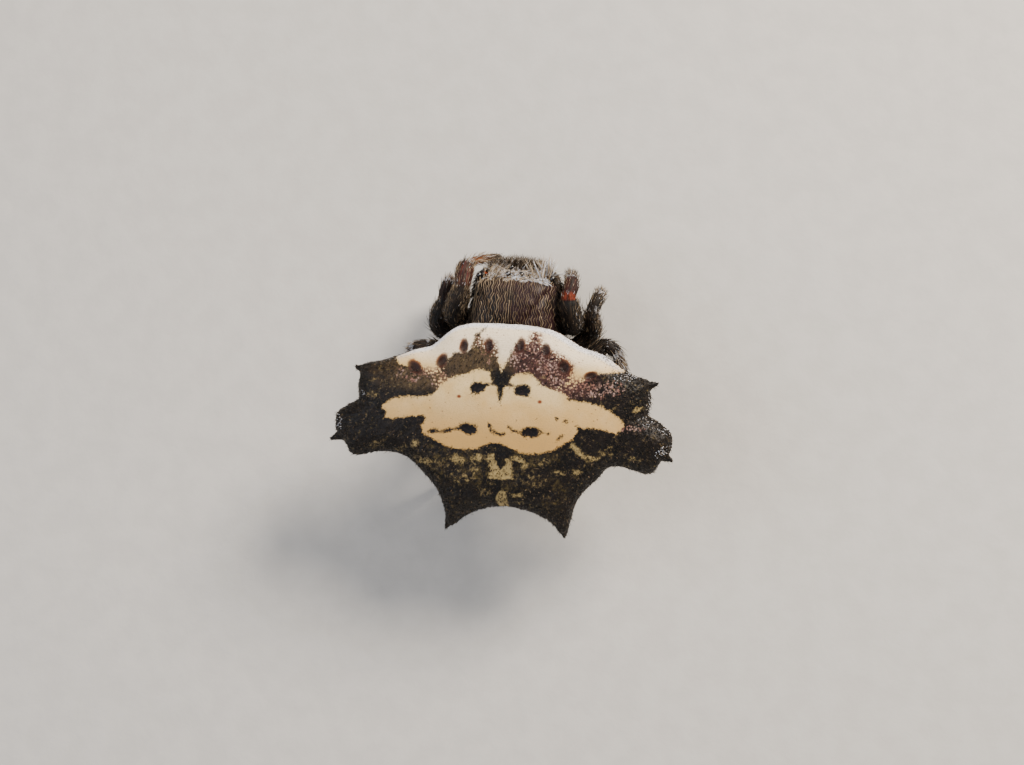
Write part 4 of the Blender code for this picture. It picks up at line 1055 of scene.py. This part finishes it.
def makeCarapace():
    c = carapace
    stations = smoothLine(c["stations"], 10)
    rings = c["rings"]
    pick = np.linspace(0, len(stations) - 1, rings)
    stations = np.column_stack([np.interp(pick, np.arange(len(stations)), stations[:, i]) for i in range(4)])
    bm = bmesh.new()
    bmesh.ops.create_uvsphere(bm, u_segments=c["around"], v_segments=rings + 1, radius=1.0)
    mesh = meshFrom(bm, "carapace")
    p = meshPoints(mesh)
    ring = np.rint(np.arccos(np.clip(p[:, 2], -1, 1)) / pi * (rings + 1)).astype(int) - 1
    pole = (ring < 0) | (ring >= rings)
    y, half, top, boxy = stations[np.clip(ring, 0, rings - 1)].T
    half = half * c["spread"]
    angle = np.arctan2(p[:, 1], p[:, 0])
    up = np.where(np.sin(angle) > 0, (top - c["seam"]) * power(np.sin(angle), 0.75),
                  (c["seam"] - c["under"]) * power(np.sin(angle), 0.8))
    x = half * power(np.cos(angle), boxy)
    low = (np.minimum(top, c["seam"] + 0.3) - c["seam"]) / 2
    x, up = np.where(pole, 0, x), np.where(pole, low, up)
    setPoints(mesh, np.column_stack((c["middle"] + x, y, c["seam"] + up)))
    bm = bmesh.new()
    bm.from_mesh(mesh)
    for knob in knobPlaces():
        shape = Matrix.Translation(knob) @ Matrix.Diagonal((*c["knobSize"], 1.0))
        bmesh.ops.create_uvsphere(bm, u_segments=32, v_segments=20, radius=1.0, matrix=shape)
    bm.to_mesh(mesh)
    bm.free()
    mesh = remeshed(mesh, 0.034, 4)
    p, n = meshPoints(mesh), meshNormals(mesh)
    x, y, z = (p - (c["middle"], 0, 0)).T
    above = between(n[:, 2], 0.0, 0.5)
    # the raised head is marked off by a groove on each side that meets the dent in the middle of the thorax
    groove = np.exp(-((np.abs(x) - (0.25 + 0.62 * np.clip(-2.0 - y, 0, 1.4))) / 0.09) ** 2)
    groove *= between(y, -3.5, -3.1)
    groove *= between(-y, 1.95, 2.15)
    dent = np.exp(-(x / 0.10) ** 2 - ((y + 1.95) / 0.22) ** 2)
    rays = np.cos(np.arctan2(x, y + 1.95) * 9) * between(np.hypot(x, y + 1.95), 0.3, 0.7)
    rays *= between(y, -2.6, -2.2)
    move = -0.045 * groove * above - 0.07 * dent + 0.014 * rays * above - c["coatDepth"]
    move += 0.018 * softNoise(p, 0.35, 9) + 0.010 * softNoise(p, 0.1, 10)
    knob = np.zeros(len(p))
    # each eye sits on a low knob; the side ones share a tall dark one, with orange-red eye shine painted in
    # front of it
    for name, eye in eyePlaces():
        gap = np.linalg.norm(p - eye, axis=1)
        if "middle" in name:
            move += 0.06 * np.exp(-(gap / 0.16) ** 2)
        knob = np.maximum(knob, np.exp(-(gap / 0.19) ** 2))
    for knobPlace in knobPlaces():
        knob = np.maximum(knob,
                          np.exp(-(np.linalg.norm((p - knobPlace) / c["knobSize"], axis=1) / 1.25) ** 6))
    # painted eye shine: an orange-red patch in front of the side eyes
    eyeShineGap = np.linalg.norm(np.column_stack((np.abs(x), y, z)) - c["rustAndEyeShine"], axis=1)
    red = np.exp(-(eyeShineGap / 0.12) ** 2)
    p = p + n * move[:, None]
    setPoints(mesh, p)
    addValues(mesh, "knob", knob)
    addValues(mesh, "red", red)
    addValues(mesh, "rightHalf", between(-x, -0.35, 0.45))
    return mesh, p


def carapaceFinish():
    # thick brown cuticle with a purplish bloom, dull between the hairs, black and polished round the eyes
    finish, shader, add, link, place = startMaterial("carapaceCuticle", IOR=1.5, Specular_IOR_Level=0.35)
    broad = add("TexNoise", place, 1 / 0.7, 3)
    colour = add("Mix", add("MapRange", broad, 0.35, 0.65, **smooth), "130d0a", "271a14", **inColour)
    bloom = add("MapRange",
                add("Math", add("TexNoise", place, 1 / 0.5, 2),
                    add("Math", add("Attribute", attribute_name="rightHalf", output=2), 0.25,
                        operation="MULTIPLY"), operation="ADD"), 0.50, 0.75, **smooth)
    colour = add("Mix", bloom, colour, "2a1518", **inColour)
    colour = add("Mix",
                 add("MapRange", add("Attribute", attribute_name="knob", output=2), 0.35, 0.75, **smooth),
                 colour, "080605", **inColour)
    # painted eye shine: orange-red in front of the side eyes
    colour = add("Mix",
                 add("MapRange", add("Attribute", attribute_name="red", output=2), 0.45, 0.85, **smooth),
                 colour, "843514", **inColour)
    link(colour, shader.inputs["Base Color"])
    link(add("MapRange", add("Attribute", attribute_name="knob", output=2), 0.3, 0.8, 0.52, 0.22, **smooth),
         shader.inputs["Roughness"])
    bump = add("Bump", 1.0, 0.012 * mm, None, add("TexNoise", place, 1 / 0.045, 4))
    link(bump, shader.inputs["Normal"])
    return finish


mouth = dict(
    # from root to tip: x from the carapace's middle line, y, z, radius
    chelicera=[(0.30, -3.70, 1.90, 0.22), (0.33, -3.84, 1.56, 0.255), (0.34, -3.90, 1.30, 0.255),
               (0.31, -3.88, 1.04, 0.20), (0.29, -3.87, 0.94, 0.11)],
    fang=[(0.34, -3.90, 0.98, 0.055), (0.31, -3.93, 0.86, 0.045), (0.22, -3.90, 0.79, 0.028),
          (0.14, -3.84, 0.79, 0.008)],
    palp=[(0.70, -3.04, 1.44, 0.15), (0.80, -3.20, 1.45, 0.15), (0.86, -3.48, 1.48, 0.165),
          (0.88, -3.62, 1.47, 0.13), (0.875, -3.72, 1.45, 0.155), (0.86, -3.86, 1.38, 0.155),
          (0.83, -3.96, 1.28, 0.12), (0.82, -4.04, 1.20, 0.145), (0.76, -4.12, 0.98, 0.135),
          (0.70, -4.18, 0.80, 0.07)], )


def makeLimb(name, stations, side, around=28, rings=70, seed=1):
    line = np.array([(carapace["middle"] + side * x, y, z) for x, y, z, _ in stations])
    fine = smoothLine(line, 12)
    line, wanted, gone = evenLine(fine, rings)
    place = np.interp(wanted, gone, np.linspace(0, len(stations) - 1, len(fine)))
    radii = roundedEnds(np.interp(place, np.arange(len(stations)), [s[3] for s in stations]), 4)
    mesh, ring, angle, tangent = drawnOut(name, line, radii, around)
    p, n = meshPoints(mesh), meshNormals(mesh)
    p = p + n * (0.006 * softNoise(p, 0.1, seed))[:, None]
    setPoints(mesh, p)
    share = place / (len(stations) - 1)
    addVectors(mesh, "wrap", np.column_stack((np.cos(angle), np.sin(angle), wanted[ring])))
    for tint in ("red", "orange", "tan"):
        addValues(mesh, tint, np.zeros(len(p)))
    return mesh, dict(points=p, way=tangent[ring], share=share[ring])


def fangFinish():
    # hard tanned cuticle: dark amber, polished
    finish, shader, add, link, place = startMaterial("fangCuticle", Roughness=0.18, IOR=1.55)
    colour = add("Mix", add("MapRange", add("TexNoise", place, 1 / 0.12, 2), 0.3, 0.7, **smooth), "1a0a05",
                 "3d160a", **inColour)
    link(colour, shader.inputs["Base Color"])
    return finish


faceHairs = dict(
    # kind: how many, shortest and longest mm, width
    sides=(2300, 0.18, 0.34, 0.020), crest=(560, 0.10, 0.22, 0.030), face=(1300, 0.12, 0.26, 0.017),
    silver=(480, 0.12, 0.26, 0.020), fringeSilver=(190, 0.26, 0.50, 0.018),
    fringe=(760, 0.32, 0.54, 0.019), glints=(190, 0.10, 0.20, 0.042), spikesRight=(64, 0.38, 0.68, 0.042),
    spikesLeft=(30, 0.20, 0.38, 0.028), limb=(260, 0.09, 0.22, 0.016),
)

combed = dict(
    # wavy hair lies combed to the rear in even strands, straight along the middle
    gap=0.070, front=-3.56, rear=-1.20, halfWidth=1.30, strand=(0.40, 0.80), width=0.031, rings=18,
    wave=0.019, waveLength=0.25, fan=0.07,
)


def combedHair(mesh, rng):
    c = combed
    tree = BVHTree.FromPolygons([v.co for v in mesh.vertices], [f.vertices for f in mesh.polygons])
    spines = []
    t = np.linspace(0, 1, c["rings"] + 1)
    for x in np.arange(-c["halfWidth"], c["halfWidth"], c["gap"]):
        start = c["front"] + rng.uniform(-0.08, 0.05)
        swing = c["wave"] * (0.25 + 0.75 * between(abs(x - 0.02), 0.05, 0.18)) * rng.uniform(0.85, 1.25)
        while start < c["rear"]:
            y = start + t * rng.uniform(*c["strand"])
            wave = np.sin(2 * pi * y / c["waveLength"] + 2.2 * np.sin(4 * x) + rng.normal(0, 0.55))
            wave += 0.5 * np.sin(2 * pi * y / (2.7 * c["waveLength"]) + 5 * x)
            across = x * (1 + c["fan"] * (y + 2.6)) + swing * wave + rng.normal(0, 0.009)
            hits = [tree.ray_cast((carapace["middle"] + a, b, 5.0), (0, 0, -1)) for a, b in zip(across, y)]
            if all(hit[0] and hit[1].z > 0.08 for hit in hits):
                spines.append([hit[0] + hit[1] * (0.006 + 0.022 * share) for hit, share in zip(hits, t)])
            start = y[-1] - 0.03
    spines = np.array(spines)
    roots = spines[:, 0]
    x = roots[:, 0] - carapace["middle"]
    pale = rng.uniform(0.35, 0.52, len(x)) - 0.10 * between(-x, -0.25, 0.35) * (1 - between(-x, 0.6, 0.9))
    aside = np.tile((1.0, 0.0, 0.0), (len(x), 1))
    return tubesMesh("combed", spines, aside, np.tile((0.0, 0.0, 1.0), (len(x), 1)),
                     np.full(len(x), c["width"]),
                     np.column_stack((0.5 + roots[:, 0] / 4, -roots[:, 1] / 5)), pale, sides=5)


def plantHair(kind, mesh, weight, way, stand, pale, rng, wave=0.0, rings=3, spread=0.15, drop=0.15):
    count, low, high, width = faceHairs[kind]
    sample = scatterOn(mesh, count, weight, rng)
    roots, normals = sample(meshPoints(mesh)), unit(sample(meshNormals(mesh)))
    flow = sample(way) if np.ndim(way) == 2 else np.tile(way, (len(roots), 1))
    flow = flow + rng.normal(0, spread, (len(roots), 3))
    flow = unit(flow - (flow * normals).sum(axis=1)[:, None] * normals)
    start = unit(flow + normals * (stand + rng.uniform(-0.05, 0.05, len(roots)))[:, None])
    uv = np.column_stack((0.5 + roots[:, 0] / 4, -roots[:, 1] / 5))
    return hairMesh(kind, roots - normals * 0.004, start, -normals * drop,
                    rng.uniform(low, high, len(roots)), np.full(len(roots), width), uv,
                    rng.uniform(*pale, len(roots)), rings=rings, wave=wave, waveLength=0.20,
                    seed=int(rng.integers(1000)))


def makeCarapaceHair(mesh):
    rng = np.random.default_rng(71)
    p, n = meshPoints(mesh), meshNormals(mesh)
    x, y, z = (p - (carapace["middle"], 0, 0)).T
    top = between(n[:, 2], 0.05, 0.5)
    side = 1 - between(n[:, 2], 0.0, 0.35)
    clear = 1 - np.max([np.exp(-(np.linalg.norm(p - eye, axis=1) / 0.115) ** 2) for _, eye in eyePlaces()],
                       axis=0)
    corner = between(z, 2.4, 2.7) * np.exp(-((y + 3.86) / 0.20) ** 2)
    # the hair keeps off the painted eye shine
    eyeShineGap = np.linalg.norm(np.column_stack((np.abs(x), y, z)) - carapace["rustAndEyeShine"], axis=1)
    clear = clear * between(eyeShineGap, 0.06, 0.14)
    for knob in knobPlaces():
        clear = clear * between(np.linalg.norm((p - knob) / carapace["knobSize"], axis=1), 1.0, 1.5)
    # the crest's hairs are real, but their bluish white is painted glints
    crest = clear * top * between(y, -3.96, -3.82) * (1 - between(y, -3.56, -3.46))
    crest = crest * between(softNoise(p, 0.14, 31), -0.1, 0.4)
    # forelock glints: near-white hairs set in as painted glints
    forelock = top * np.exp(-((y + 3.74 + 0.14 * x) / 0.10) ** 2)
    forelock = forelock * (np.exp(-((x - 0.12) / 0.26) ** 2) + np.exp(-((x + 0.78) / 0.14) ** 2))
    made = [
        combedHair(mesh, rng),
        plantHair("sides", mesh, side * between(z, 1.75, 1.95), (0, 1, -0.2), 0.85, (0.0, 0.36), rng),
        plantHair("crest", mesh, crest, (-0.2, 0.6, 0.1), 0.30, (0.55, 1.0), rng, spread=0.60),
        plantHair("face", mesh, clear * (1 - between(y, -3.60, -3.46)) * between(z, 2.1, 2.3),
                  (0, -0.5, -0.5), 0.35, (0.02, 0.34), rng, spread=0.35),
        plantHair("silver", mesh, clear * (1 - between(y, -3.62, -3.50)) * between(z, 2.1, 2.3),
                  (-0.2, -0.6, -0.2), 0.55, (0.66, 0.92), rng, spread=0.55),
        plantHair("fringe", mesh, clear * (1 - between(y, -4.02, -3.88)) * between(z, 2.15, 2.3),
                  (0, -1.0, 0.35), 1.1, (0.02, 0.36), rng, spread=0.30, drop=0.05),
        plantHair("glints", mesh, clear * forelock, (-0.5, 0.3, 0.3), 0.35, (0.92, 1.0), rng, spread=0.5),
        plantHair("fringeSilver", mesh, clear * (1 - between(y, -3.96, -3.80)) * between(z, 2.2, 2.4),
                  (-0.15, -1.0, 0.30), 0.9, (0.70, 0.90), rng, spread=0.45, drop=0.05),
        plantHair("spikesRight", mesh, corner * np.exp(-((x + 0.84) / 0.13) ** 2), (-0.1, -1.0, 0.45), 1.0,
                  (0.62, 1.0), rng, spread=0.32, drop=0.0),
        plantHair("spikesLeft", mesh, corner * np.exp(-((x - 0.66) / 0.22) ** 2), (-0.3, -1.0, 0.3), 0.7,
                  (0.4, 0.85), rng, spread=0.30, drop=0.0), ]
    return joinMeshes("carapaceHair", made)


def eyeFinish():
    # lens of clear cuticle over dark pigment: black amber with a wet gloss
    finish, shader, add, link, place = startMaterial("eyeLens", Roughness=0.06, IOR=1.55, Coat_Weight=1.0,
                                                     Coat_Roughness=0.03)
    colour = add("Mix", add("MapRange", add("TexNoise", place, 1 / 0.05, 1), 0.4, 0.6, **smooth), "080504",
                 "1a0c06", **inColour)
    link(colour, shader.inputs["Base Color"])
    return finish


print("carapace and eyes")
carapaceMesh, carapacePoints = makeCarapace()
carapaceHair = makeCarapaceHair(carapaceMesh)
finishPiece("carapaceSkin", carapaceMesh, carapaceFinish(), ["carapace"])
finishPiece("carapaceHair", carapaceHair, hairMaterial)
eyeMaterial = eyeFinish()
for eyeName, place in eyePlaces():
    bm = bmesh.new()
    bmesh.ops.create_uvsphere(bm, u_segments=32, v_segments=20, radius=carapace["eyeRadius"])
    bmesh.ops.translate(bm, vec=place, verts=bm.verts)
    finishPiece(eyeName.replace("eye_", "eyeLens_"), meshFrom(bm, eyeName), eyeMaterial, [eyeName])

print("mouthparts")
fangMaterial = fangFinish()
limbRng = np.random.default_rng(83)
limbHairs = []
for sideName, side in (("left", 1), ("right", -1)):
    for kind, node in (("chelicera", "chelicera"), ("palp", "pedipalp")):
        limbMesh, limbInfo = makeLimb(kind, mouth[kind], side, seed=90 + side)
        grown = between(limbInfo["share"], 0.2, 0.35)
        limbHairs.append(plantHair("limb", limbMesh, grown, limbInfo["way"], 0.45, (0.1, 0.7), limbRng,
                                   spread=0.2))
        finishPiece(f"{kind}Skin_{sideName}", limbMesh, legMaterial, [f"{node}_{sideName}"])
    fang, _ = makeLimb("fang", mouth["fang"], side, around=20, rings=30)
    finishPiece(f"fang_{sideName}", fang, fangMaterial)
finishPiece("mouthHair", joinMeshes("mouthHair", limbHairs), hairMaterial)


# Underside: sternum, pedicel and spinnerets

underside = dict(
    sternum=[(-2.75, 0.16), (-2.60, 0.34), (-2.30, 0.42), (-1.80, 0.40), (-1.40, 0.24), (-1.20, 0.08)],
    sternumLow=1.08, sternumHigh=1.64,
    pedicel=[(0.17, -1.12, 1.98), (0.12, -0.92, 2.00), (0.06, -0.72, 2.14), (0.0, -0.55, 2.45),
             (0.0, -0.48, 2.75)],
    pedicelRadius=0.21,
    # spinning cones in the shield's frame: x, y, radius, length
    cones=[(0.16, -0.18, 0.13, 0.34), (0.10, 0.02, 0.08, 0.26), (0.14, 0.20, 0.11, 0.36)],
    ringRadius=0.42, ringDepth=0.22, )


def makeSternum():
    # a flat heart, pointed to the rear, with a low bump facing each leg
    u = underside
    bm = bmesh.new()
    bmesh.ops.create_uvsphere(bm, u_segments=64, v_segments=48, radius=1.0)
    mesh = meshFrom(bm, "sternum")
    p = meshPoints(mesh)
    ys, halves = np.array(u["sternum"]).T
    y = (ys[0] + ys[-1]) / 2 + p[:, 1] * (ys[-1] - ys[0]) / 2
    ring = np.sqrt(np.maximum(1e-9, 1 - p[:, 1] ** 2))
    half = np.interp(y, ys, halves) * (1 + 0.05 * np.cos(9 * y))
    low, high = u["sternumLow"], u["sternumHigh"]
    z = (low + high) / 2 + (high - low) / 2 * power(p[:, 2] / ring, 0.5) * ring ** 0.5
    x = carapace["middle"] + half * power(p[:, 0] / ring, 0.7)
    p = np.column_stack((x, y, z))
    setPoints(mesh, p + 0.012 * softNoise(p, 0.15, 41)[:, None] * meshNormals(mesh))
    return mesh


def makePedicel():
    line, wanted, _ = evenLine(smoothLine(underside["pedicel"], 10), 60)
    radii = roundedEnds(underside["pedicelRadius"] * (1 + 0.05 * np.sin(wanted * 42)), 3)
    mesh = drawnOut("pedicel", line, radii, 28)[0]
    return mesh


def makeSpinnerets():
    u, s = underside, shield
    top = -s["under"] - s["venter"]
    middle = s["venterMiddle"][1]
    made = []
    cones = [(0.0, 0.0, u["ringRadius"], u["ringDepth"])]
    cones += [(x * side, y, radius, length) for x, y, radius, length in u["cones"] for side in (1, -1)]
    for x, y, radius, length in cones:
        start = top + 0.08 if radius == u["ringRadius"] else top - u["ringDepth"] / 2
        steps = np.linspace(0, 1, 24)
        line = np.column_stack((x * (1 - 0.25 * steps), middle + y * (1 - 0.2 * steps),
                                start - (length + 0.05) * steps))
        radii = roundedEnds(radius * (1 - 0.45 * steps ** 1.5) * (1 + 0.03 * np.sin(steps * 30)), 4)
        made.append(drawnOut("cone", shieldToBody(line), radii, 24)[0])
    return joinMeshes("spinneretSkin", made)


def softCuticleFinish():
    # thinner brown cuticle, wrinkled, with a dull sheen
    finish, shader, add, link, place = startMaterial("softCuticle", IOR=1.5, Specular_IOR_Level=0.35)
    colour = add("Mix", add("MapRange", add("TexNoise", place, 1 / 0.22, 4), 0.35, 0.65, **smooth),
                 "140d0a", "3a2417", **inColour)
    link(colour, shader.inputs["Base Color"])
    link(add("MapRange", add("TexNoise", place, 1 / 0.1, 2), 0.3, 0.7, 0.45, 0.6, **smooth),
         shader.inputs["Roughness"])
    bump = add("Bump", 1.0, 0.014 * mm, None, add("TexNoise", place, 1 / 0.05, 4))
    link(bump, shader.inputs["Normal"])
    return finish


print("underside")
softMaterial = softCuticleFinish()
finishPiece("sternumSkin", makeSternum(), softMaterial, ["sternum"])
finishPiece("pedicelSkin", makePedicel(), softMaterial, ["pedicel"])
finishPiece("spinneretSkin", makeSpinnerets(), softMaterial, ["spinnerets"])


# Floor, light and camera

studio = dict(
    # the photo looks down on the back from a little behind: where it looks, what is up, how far, what lens
    target=(-0.320, 0.2825, 4.372), back=(-0.1733, 0.1832, 0.9677), up=(0.0579, -0.9790, 0.1957),
    distance=90.0, lens=114.8,
    # soft lights: towards the picture's right, its top and the camera, then size in mm, power and colour
    lights=[("keyLight", (0.70, 0.90, 0.80), 42.0, 0.172, "fff4e6"),
            ("fillLight", (-0.95, 0.10, 0.75), 90.0, 0.045, "eef2ff"),
            ("lowLight", (0.10, -1.00, 0.35), 80.0, 0.025, "fff8f0")],
    lightDistance=95.0, skyColour="ecedf0", skyStrength=0.36,
    floorSize=600.0, floorColour="d3cfc8", )


def makeFloor():
    # seamless card, matt, with the faint tooth of paper
    bm = bmesh.new()
    bmesh.ops.create_grid(bm, x_segments=8, y_segments=8, size=studio["floorSize"] / 2 * mm)
    mesh = bpy.data.meshes.new("floorCard")
    bm.to_mesh(mesh)
    bm.free()
    finish, shader, add, link, place = startMaterial("paperCard", Roughness=0.9, IOR=1.4)
    tooth = add("TexNoise", place, 1 / 0.8, 4)
    link(add("Mix", add("MapRange", tooth, 0.35, 0.65, **smooth), studio["floorColour"], "d8d4cd",
             **inColour), shader.inputs["Base Color"])
    bump = add("Bump", 1.0, 0.03 * mm, None, tooth)
    link(bump, shader.inputs["Normal"])
    mesh.materials.append(finish)
    floor = bpy.data.objects.new("floorCard", mesh)
    bpy.context.scene.collection.objects.link(floor)


def makeCamera():
    s = studio
    back, up = Vector(s["back"]).normalized(), Vector(s["up"])
    right = up.cross(back).normalized()
    up = back.cross(right)
    data = bpy.data.cameras.new("photoCamera")
    data.lens = s["lens"]
    data.sensor_width = 36.0
    data.clip_start = 0.002
    data.clip_end = 5.0
    camera = bpy.data.objects.new("photoCamera", data)
    place = Matrix((right, up, back)).transposed().to_4x4()
    place.translation = (Vector(s["target"]) + back * s["distance"]) * mm
    camera.matrix_world = place
    bpy.context.scene.collection.objects.link(camera)
    bpy.context.scene.camera = camera
    return right, up, back


def makeLights(right, up, back):
    s = studio
    target = Vector(s["target"]) * mm
    for name, way, size, power, colour in s["lights"]:
        data = bpy.data.lights.new(name, "AREA")
        data.shape = "DISK"
        data.size = size * mm
        data.energy = power
        data.color = linear(colour)[:3]
        light = bpy.data.objects.new(name, data)
        aim = (right * way[0] + up * way[1] + back * way[2]).normalized()
        light.matrix_world = (Matrix.Translation(target + aim * s["lightDistance"] * mm)
                              @ aim.to_track_quat("Z", "Y").to_matrix().to_4x4())
        bpy.context.scene.collection.objects.link(light)
    world = bpy.data.worlds.new("softRoom")
    world.use_nodes = True
    sky = world.node_tree.nodes["Background"]
    sky.inputs["Color"].default_value = linear(s["skyColour"])
    sky.inputs["Strength"].default_value = s["skyStrength"]
    bpy.context.scene.world = world


print("floor, light and camera")
makeFloor()
makeLights(*makeCamera())
